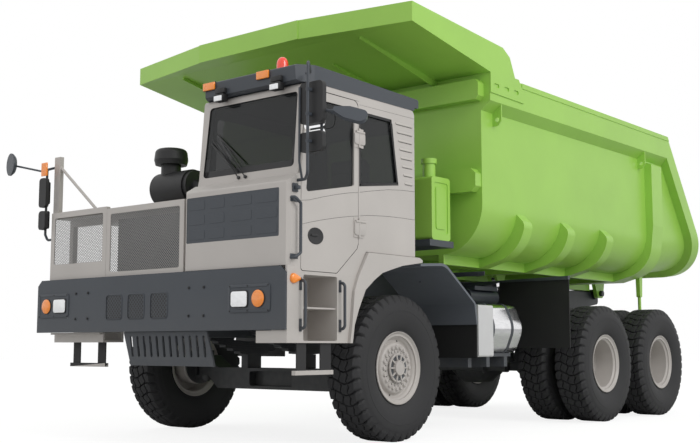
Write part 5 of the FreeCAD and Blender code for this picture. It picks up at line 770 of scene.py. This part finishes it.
# each arm as (foot x, foot up, tip x, tip up) on the glass
wiper = {"arms": ((1.174, -0.040, 0.800, 0.350), (1.084, -0.040, 0.675, 0.385)), "armOut": 0.030,
         "blade": ((1.150, 0.020, 0.018), (0.640, 0.425, 0.018)), "bladeShare": 0.82,
         "bladeStart": 0.10, "bladeApart": (0.045, 0, 0.036)}
wiperBm = bmesh.new()
for x0, u0, x1, u1 in wiper["arms"]:
    joinTo(wiperBm, pin(0.016, 0.030, 16), facing(onScreen(x0, u0, 0.006), outward))
    reach = onScreen(x1, u1, wiper["armOut"]) - onScreen(x0, u0, wiper["armOut"])
    arm = softBlock((-0.005, -0.004, 0), (0.005, 0.004, reach.length), 0.002)
    joinTo(wiperBm, arm, facing(onScreen(x0, u0, wiper["armOut"]), reach))
bladeLow, bladeHigh = (onScreen(*spot) for spot in wiper["blade"])
bladeReach = bladeHigh - bladeLow
for way in (-1, 1):
    blade = softBlock((-0.004, -0.009, 0), (0.004, 0.009, bladeReach.length * wiper["bladeShare"]), 0.002)
    start = bladeLow + bladeReach * wiper["bladeStart"] + Vector(wiper["bladeApart"]) * way
    joinTo(wiperBm, blade, facing(start, bladeReach))
closePiece("wipers", wiperBm, "chassis", "black")

# pressed bars on the dark nose panel
noseBm = bmesh.new()
nose = {"low": 1.962, "high": 2.392, "face": -1.8602, "rows": 3, "barShare": 0.66,
        "bars": ((0.545, 0.770), (0.830, 1.040), (1.130, 1.400), (1.460, 1.725))}
rowHeight = (nose["high"] - nose["low"]) / nose["rows"]
for row in range(nose["rows"]):
    z = nose["low"] + rowHeight * (row + 0.5)
    for x0, x1 in nose["bars"]:
        bar = softPlate(x1 - x0, rowHeight * nose["barShare"], 0.0024, 0.016, 0.0018, 3)
        joinTo(noseBm, bar, upright((x0 + x1) / 2, nose["face"], z))
closePiece("nose_bars", noseBm, "chassis", "slate", sharp=12)

skin = 1.8652
louvres = {"count": 8, "low": 2.640, "high": 3.246, "front": -0.115, "rake": -0.150, "back": 0.018}
sideBm = bmesh.new()
for i in range(louvres["count"]):
    part = i / (louvres["count"] - 1)
    z = louvres["low"] + (louvres["high"] - louvres["low"]) * part
    front = louvres["front"] + louvres["rake"] * part
    louvre = softBlock((skin - 0.004, front, z - 0.026), (skin + 0.010, louvres["back"], z + 0.002),
                       0.006, 3)
    top = [v for v in louvre.verts if v.co.x > skin and v.co.z > z - 0.012]
    bmesh.ops.translate(louvre, verts=top, vec=(-0.008, 0, 0))
    joinTo(sideBm, louvre)
    # a thin dark strip under each louvre: painted shade in the slot below its lip
    addBlock(sideBm, (skin - 0.002, front + 0.012, z - 0.030), (skin + 0.0012, 0.012, z - 0.026),
             0.0005, 1, 1)


def creaseShadeRun(bm, points, width=0.0028):
    # a pressed line across the flat side, drawn as painted shade: short straight dark strips
    for (y0, z0), (y1, z1) in zip(points, points[1:]):
        length = math.hypot(y1 - y0, z1 - z0)
        strip = softBlock((0, -0.001, -width / 2), (0.0010, length + 0.001, width / 2), 0.0003, 1)
        turn = Matrix.Rotation(math.atan2(z1 - z0, y1 - y0), 4, "X")
        joinTo(bm, strip, Matrix.Translation((skin, y0, z0)) @ turn, 1)


# (y, z) points of the pressed lines, drawn dark as painted shade: two over the cab's side, two in the
# gutter above the windows
sideLines = {"upper": [(-0.846, 2.452), (-0.720, 2.476), (-0.594, 2.497), (-0.400, 2.528),
                       (-0.180, 2.548), (0.056, 2.558)],
             "lower": [(-0.846, 2.222), (-0.720, 2.238), (-0.594, 2.247), (-0.400, 2.258),
                       (-0.180, 2.263), (0.056, 2.264)],
             "gutters": ([(-1.690, 3.350), (-1.3, 3.352), (-0.86, 3.350)],
                         [(-0.85, 3.318), (-0.45, 3.322), (0.05, 3.326)])}
creaseShadeRun(sideBm, sideLines["upper"])
creaseShadeRun(sideBm, sideLines["lower"])
for line in sideLines["gutters"]:
    creaseShadeRun(sideBm, line, 0.002)
closePiece("cab_side_trim", sideBm, "chassis", "cabGrey", "softBlack")

door = {"creases": ([(-1.684, 2.286), (-1.583, 2.300), (-1.400, 2.346), (-1.200, 2.392), (-1.000, 2.430),
                     (-0.874, 2.446)],
                    [(-1.684, 2.068), (-1.560, 2.098), (-1.400, 2.132), (-1.200, 2.170), (-1.000, 2.202),
                     (-0.874, 2.218)]),
        "pull": (skin - 0.001, -1.492, 1.975), "pullFlat": 0.72}
doorBm = bmesh.new()
# the door's pressed lines are dark strips as well: painted shade in the creases
for line in door["creases"]:
    creaseShadeRun(doorBm, line)
oval = lathe([(0.108, 0.0), (0.108, 0.004), (0.103, 0.007), (0.096, 0.006), (0.0, 0.005)], 40)
flatten = Matrix.Diagonal((1, 1, door["pullFlat"], 1))
joinTo(doorBm, oval, Matrix.Translation(door["pull"]) @ flatten @ facing((0, 0, 0), (1, 0, 0)), 1)
addBlock(doorBm, (skin, -1.560, 1.968), (skin + 0.012, -1.470, 1.990), 0.004, 1)
closePiece("door_trim", doorBm, "cab_door", "softBlack", "black")
print("cab trimmed")


def ringRun(bm, points, face, width, thick):
    # a closed band on the flat side, round the given (y, z) corners
    for (y0, z0), (y1, z1) in zip(points, points[1:] + points[:1]):
        length = math.hypot(y1 - y0, z1 - z0)
        strip = softBlock((0, -width / 2, -width / 2), (thick, length + width / 2, width / 2), 0.0006, 1)
        turn = Matrix.Rotation(math.atan2(z1 - z0, y1 - y0), 4, "X")
        joinTo(bm, strip, Matrix.Translation((face, y0, z0)) @ turn, 1)


sideWindow = {"seal": [(-0.838, 3.238), (-0.346, 3.238), (-0.238, 2.608), (-0.838, 2.528)],
              "lip": [(-0.852, 3.252), (-0.334, 3.252), (-0.222, 2.594), (-0.852, 2.512)]}
hingeCovers = ((-0.923, -0.783, 2.015, 2.182), (-0.916, -0.797, 2.895, 3.059))
fitFace = 1.8650    # where the small fittings sit on the cab's side
fitBm = bmesh.new()
ringRun(fitBm, sideWindow["seal"], fitFace - 0.0002, 0.022, 0.0022)
ringRun(fitBm, sideWindow["lip"], fitFace - 0.0006, 0.006, 0.0010)
for y0, y1, z0, z1 in hingeCovers:
    cover = softPlate(y1 - y0, z1 - z0, 0.018, 0.026, 0.006, 4)
    joinTo(fitBm, cover, facing((fitFace, (y0 + y1) / 2, (z0 + z1) / 2), (1, 0, 0), math.radians(90)))
    barrel = pin(0.013, y1 - y0 + 0.010, 16)
    joinTo(fitBm, barrel, facing((fitFace + 0.016, y0 - 0.005, z1 - 0.020), (0, 1, 0)))
closePiece("side_window_seal", fitBm, "chassis", "cabGrey", "softBlack")

# a round lens drawn out to a point at one side, and the lamp on the right post
marker = {"spot": (1.866, -1.790, 1.573), "drawn": 2.0, "taper": 6.0, "most": 0.55}
lampBm = bmesh.new()
drop = lathe([(0.046, 0), (0.046, 0.012), (0.041, 0.021), (0.028, 0.028), (0.012, 0.031),
              (0.0, 0.0315)], 32)
for v in drop.verts:
    if v.co.x > 0:
        v.co.x *= marker["drawn"]
        v.co.y *= 1 - min(marker["most"], v.co.x * marker["taper"])
sideways = Matrix(((0, 0, 1, 0), (1, 0, 0, 0), (0, 1, 0, 0), (0, 0, 0, 1)))
joinTo(lampBm, drop, Matrix.Translation(marker["spot"]) @ sideways)
addBlock(lampBm, (-1.838, -1.9240, 2.850), (-1.735, -1.9050, 3.000), 0.006)
closePiece("side_marker_lamps", lampBm, "chassis", "amberLens")

# feet of the grab handles, each with two bolts
feet = [{"y": (-1.696, -1.144), "z": (1.157, 1.527), "half": (0.017, 0.058), "bolts": (0, 0.040)},
        {"y": (-1.788,), "z": (1.770, 2.285), "half": (0.050, 0.022), "bolts": (0.036, 0)}]
footFace = fitFace + 0.008
feetBm = bmesh.new()
for foot in feet:
    halfY, halfZ = foot["half"]
    boltY, boltZ = foot["bolts"]
    for y in foot["y"]:
        for z in foot["z"]:
            addBlock(feetBm, (fitFace, y - halfY, z - halfZ), (footFace, y + halfY, z + halfZ))
            spots = [(footFace, y - boltY, z - boltZ), (footFace, y + boltY, z + boltZ)]
            boltRow(feetBm, spots, (1, 0, 0), 0.008, 0.008)
# clamp that holds the foot of the mirror pole
addBlock(feetBm, (fitFace, -1.815, 2.352), (1.880, -1.745, 2.432), 0.004)
addBlock(feetBm, (1.880, -1.800, 2.372), (1.925, -1.762, 2.408), 0.006)
closePiece("handle_feet", feetBm, "chassis", "slate")

guard = {"x": 1.700, "bolts": ((0.372, 1.640), (0.894, 1.672), (1.031, 1.684))}
flapLow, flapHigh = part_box("mud_flaps")
flapStrip = {"depth": 0.012, "height": 0.050, "from": 1.000, "to": min(2.000, flapHigh.x - 0.01),
             "bolts": 6}
guardBm = bmesh.new()
for sign in (1, -1):
    boltRow(guardBm, [(guard["x"] * sign, y, z) for y, z in guard["bolts"]], (0, 0, 1), 0.013, 0.010)
for sign in (1, -1):
    y, z = flapLow.y, flapHigh.z
    x0, x1 = sorted((flapStrip["from"] * sign, flapStrip["to"] * sign))
    addBlock(guardBm, (x0, y - 0.0002, z - flapStrip["height"]), (x1, y + flapStrip["depth"], z), 0.002)
    count = flapStrip["bolts"]
    spots = [(x0 + (x1 - x0) * (i + 0.5) / count, y + 0.0002, z - flapStrip["height"] / 2)
             for i in range(count)]
    boltRow(guardBm, spots, (0, -1, 0), 0.010, 0.004)
closePiece("guard_bolts", guardBm, "chassis", "chassis")

# straps follow the tank's own section, a little proud of it
tank = {"straps": ((1.835, 1.880), (2.255, 2.300)), "proud": 0.005, "strapThick": 0.006,
        "capX": 1.250, "capY": 2.080}
strapBm = bmesh.new()
for y0, y1 in tank["straps"]:
    strap = bmesh.new()
    strap.from_mesh(nodes["fuel_tank"].data)
    bmesh.ops.remove_doubles(strap, verts=strap.verts, dist=0.0002)
    for y, way in ((y0, -1), (y1, 1)):
        bmesh.ops.bisect_plane(strap, geom=strap.verts[:] + strap.edges[:] + strap.faces[:], dist=0.0001,
                               plane_co=(0, y, 0), plane_no=(0, way, 0), clear_outer=True)
    strap.normal_update()
    shifts = {v: v.normal * tank["proud"] for v in strap.verts}
    for v, shift in shifts.items():
        v.co += Vector((shift.x, 0, shift.z))
    bmesh.ops.solidify(strap, geom=strap.faces[:], thickness=tank["strapThick"])
    joinTo(strapBm, strap)
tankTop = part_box("fuel_tank")[1].z
cap = lathe([(0, 0), (0.052, 0), (0.052, 0.014), (0.060, 0.016), (0.060, 0.038), (0.054, 0.044),
             (0, 0.046)], 32)
joinTo(strapBm, cap, Matrix.Translation((tank["capX"], tank["capY"], tankTop)))
closePiece("tank_straps", strapBm, "chassis", "slate")

seat = {"cushion": ((0.884, -0.688, 2.202), (1.381, -0.182, 2.341)),
        "back": ((0.894, -0.206, 2.346), (1.371, -0.041, 2.963)),
        "voxel": 0.0065, "pressure": 4.0, "most": 0.012, "start": 0.012, "corner": 0.045, "frames": 20,
        "seams": (-0.13, 0.0, 0.13), "seamHalf": 0.014, "seamDeep": 0.007, "bellows": 5}


def padPiece(name, low, high):
    # a foam pad blown up by pressure, then sewn across
    inset = Vector((1, 1, 1)) * seat["start"]
    low, high = Vector(low), Vector(high)
    bm = softBlock(low + inset, high - inset, seat["corner"], 4)
    mesh = bpy.data.meshes.new(name)
    bm.to_mesh(mesh)
    bm.free()
    mesh.materials.append(finish["seat"])
    piece = bpy.data.objects.new(name, mesh)
    bpy.context.scene.collection.objects.link(piece)
    bpy.context.view_layer.objects.active = piece
    remesh = piece.modifiers.new("remesh", "REMESH")
    remesh.mode = "VOXEL"
    remesh.voxel_size = seat["voxel"]
    bpy.ops.object.modifier_apply(modifier="remesh")
    before = [v.co.copy() for v in piece.data.vertices]
    cloth = piece.modifiers.new("cloth", "CLOTH")
    cloth.settings.use_pressure = True
    cloth.settings.uniform_pressure_force = seat["pressure"]
    cloth.settings.effector_weights.gravity = 0.0
    for step in range(1, seat["frames"] + 1):
        bpy.context.scene.frame_set(step)
    shown = piece.evaluated_get(bpy.context.evaluated_depsgraph_get())
    after = [v.co.copy() for v in shown.data.vertices]
    piece.modifiers.clear()
    for v, start, end in zip(piece.data.vertices, before, after):
        move = end - start
        if move.length > seat["most"]:
            move = move.normalized() * seat["most"]
        v.co = start + move
    bpy.context.scene.frame_set(1)
    # sewn channels run across the face: the backrest's looks forward, the cushion's up
    middle = (low + high) / 2
    tall = high.z - low.z > high.y - low.y
    for v in piece.data.vertices:
        along = (v.co.z - middle.z) if tall else (v.co.y - middle.y)
        out = (middle.y - v.co.y) if tall else (v.co.z - middle.z)
        for seam in seat["seams"]:
            near = max(0.0, 1 - abs(along - seam) / seat["seamHalf"])
            dip = seat["seamDeep"] * near * near if out > 0 else 0.0
            if tall:
                v.co.y += dip
            else:
                v.co.z -= dip
    for face in piece.data.polygons:
        face.use_smooth = True
    smooth = piece.modifiers.new("smooth", "SUBSURF")
    smooth.levels = 1
    smooth.render_levels = 1
    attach(piece, "chassis")


padPiece("seat_cushion", *seat["cushion"])
padPiece("seat_back", *seat["back"])
standBm = bmesh.new()
addBlock(standBm, (0.905, -0.660, 2.160), (1.360, -0.180, 2.206), 0.006)
addBlock(standBm, (0.960, -0.600, 1.932), (1.305, -0.230, 1.960), 0.006)
for step in range(seat["bellows"]):
    low = 1.960 + step * 0.040
    addBlock(standBm, (0.985, -0.575, low), (1.280, -0.255, low + 0.036), 0.012, 1, 3)
addBlock(standBm, (0.930, -0.052, 2.220), (1.335, -0.020, 2.900), 0.008)
seatStand = closePiece("seat_stand", standBm, "chassis", "black", "softBlack")
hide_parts("driver_seat")
print("seat made")

# each face as (width, height, middle), looking to the rear
mirrorFaces = ((0.250, 0.400, (2.070, -1.7448, 3.120)), (0.250, 0.190, (2.070, -1.7448, 2.805)),
               (0.108, 0.250, (-1.8125, -1.8478, 2.665)), (0.108, 0.200, (-1.8125, -1.8478, 2.365)))
glassBm = bmesh.new()
for width, height, middle in mirrorFaces:
    corner = 0.030 if width > 0.2 else 0.022
    rearward = Matrix.Translation(middle) @ Matrix.Rotation(math.radians(-90), 4, "X")
    joinTo(glassBm, softPlate(width, height, 0.002, corner, 0.0008, 5), rearward)
closePiece("mirror_faces", glassBm, "chassis", "mirrorGlass")

# the lead from the mirror head to its arm
cable = {"route": [(2.085, -1.7447, 3.005), (2.085, -1.700, 3.005), (2.092, -1.672, 2.962),
                   (2.122, -1.664, 2.930), (2.168, -1.668, 2.911), (2.219, -1.676, 2.909),
                   (2.264, -1.692, 2.932), (2.283, -1.710, 2.977), (2.287, -1.720, 3.0187)],
         "length": 0.370, "diameter": 0.008}
lead = bpy.data.curves.new("mirror_lead", "CURVE")
lead.dimensions = "3D"
spline = lead.splines.new("NURBS")
spline.points.add(len(cable["route"]) - 1)
for point, spot in zip(spline.points, cable["route"]):
    point.co = (*spot, 1.0)
spline.order_u = 3
spline.use_endpoint_u = True
lead.resolution_u = 8
lead.bevel_depth = cable["diameter"] / 2
lead.bevel_resolution = 4
lead.use_fill_caps = True
lead.materials.append(finish["softBlack"])
leadPiece = bpy.data.objects.new("mirror_lead", lead)
bpy.context.scene.collection.objects.link(leadPiece)
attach(leadPiece, "chassis")
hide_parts("mirror_cable")
print("mirrors glazed")

studio = {"floorSize": 120.0, "floorColor": (0.62, 0.62, 0.62), "floorGlow": 1.36, "glowShare": 0.62,
          "skyLevel": 0.66, "keyLevel": 1350.0, "fillShare": 0.27}

# the camera, gloss and glass see a plain white sky, and the object is lit by a softer one
world = bpy.data.worlds.new("studio")
bpy.context.scene.world = world
world.use_nodes = True
skyTree, skyLinks = world.node_tree.nodes, world.node_tree.links
sky = skyTree["Background"]
sky.inputs["Color"].default_value = (1, 1, 1, 1)
sky.inputs["Strength"].default_value = studio["skyLevel"]
white = skyTree.new("ShaderNodeBackground")
white.inputs["Color"].default_value = (1, 1, 1, 1)
skyPath = skyTree.new("ShaderNodeLightPath")
seen = skyPath.outputs["Is Camera Ray"]
for ray in ("Is Glossy Ray", "Is Transmission Ray"):
    either = skyTree.new("ShaderNodeMath")
    either.operation = "MAXIMUM"
    skyLinks.new(seen, either.inputs[0])
    skyLinks.new(skyPath.outputs[ray], either.inputs[1])
    seen = either.outputs["Value"]
skyMix = skyTree.new("ShaderNodeMixShader")
skyLinks.new(seen, skyMix.inputs[0])
skyLinks.new(sky.outputs[0], skyMix.inputs[1])
skyLinks.new(white.outputs[0], skyMix.inputs[2])
skyLinks.new(skyMix.outputs[0], skyTree["World Output"].inputs["Surface"])

floorBm = bmesh.new()
bmesh.ops.create_grid(floorBm, x_segments=2, y_segments=2, size=studio["floorSize"] / 2)
floorMesh = bpy.data.meshes.new("studioFloor")
floorBm.to_mesh(floorMesh)
floorBm.free()
floor = bpy.data.objects.new("studioFloor", floorMesh)
bpy.context.scene.collection.objects.link(floor)
floorMat, floorTree, floorLinks, floorShader = newMaterial("studioFloor", 0.9)
floorShader.inputs["Base Color"].default_value = (*studio["floorColor"], 1)
floorMesh.materials.append(floorMat)
# the camera sees the floor lifted to white, with the soft shadow kept
floorPath = floorTree.new("ShaderNodeLightPath")
share = floorTree.new("ShaderNodeMath")
share.operation = "MULTIPLY"
share.inputs[1].default_value = studio["glowShare"]
floorLinks.new(floorPath.outputs["Is Camera Ray"], share.inputs[0])
floorWhite = floorTree.new("ShaderNodeEmission")
floorWhite.inputs["Strength"].default_value = studio["floorGlow"]
floorMix = floorTree.new("ShaderNodeMixShader")
floorLinks.new(share.outputs["Value"], floorMix.inputs[0])
floorLinks.new(floorShader.outputs[0], floorMix.inputs[1])
floorLinks.new(floorWhite.outputs[0], floorMix.inputs[2])
floorLinks.new(floorMix.outputs[0], floorTree["Material Output"].inputs["Surface"])


def areaLight(name, spot, aim, size, power):
    lamp = bpy.data.lights.new(name, "AREA")
    lamp.shape = "RECTANGLE"
    lamp.size, lamp.size_y = size
    lamp.energy = power
    holder = bpy.data.objects.new(name, lamp)
    bpy.context.scene.collection.objects.link(holder)
    holder.location = spot
    holder.rotation_euler = (Vector(aim) - Vector(spot)).to_track_quat("-Z", "Y").to_euler()
    return holder


areaLight("keyLight", (17, -1, 12.5), (0, 3, 1.5), (9, 9), studio["keyLevel"])
fill = areaLight("fillLight", (-12, -12, 8), (0, 0, 1.5), (10, 8), studio["keyLevel"] * studio["fillShare"])
fill.visible_glossy = False    # no bright patch in the glass

shot = {"spot": (8.340, -8.857, 0.966), "pitch": 6.65, "heading": 39.47, "lens": 55.12}
lens = bpy.data.cameras.new("view")
lens.lens = shot["lens"]
lens.sensor_width = 36.0
lens.clip_end = 400.0
camera = bpy.data.objects.new("view", lens)
bpy.context.scene.collection.objects.link(camera)
camera.location = shot["spot"]
camera.rotation_euler = (math.radians(90 + shot["pitch"]), 0, math.radians(shot["heading"]))
bpy.context.scene.camera = camera
bpy.context.scene.view_settings.view_transform = "Standard"
print("studio ready")
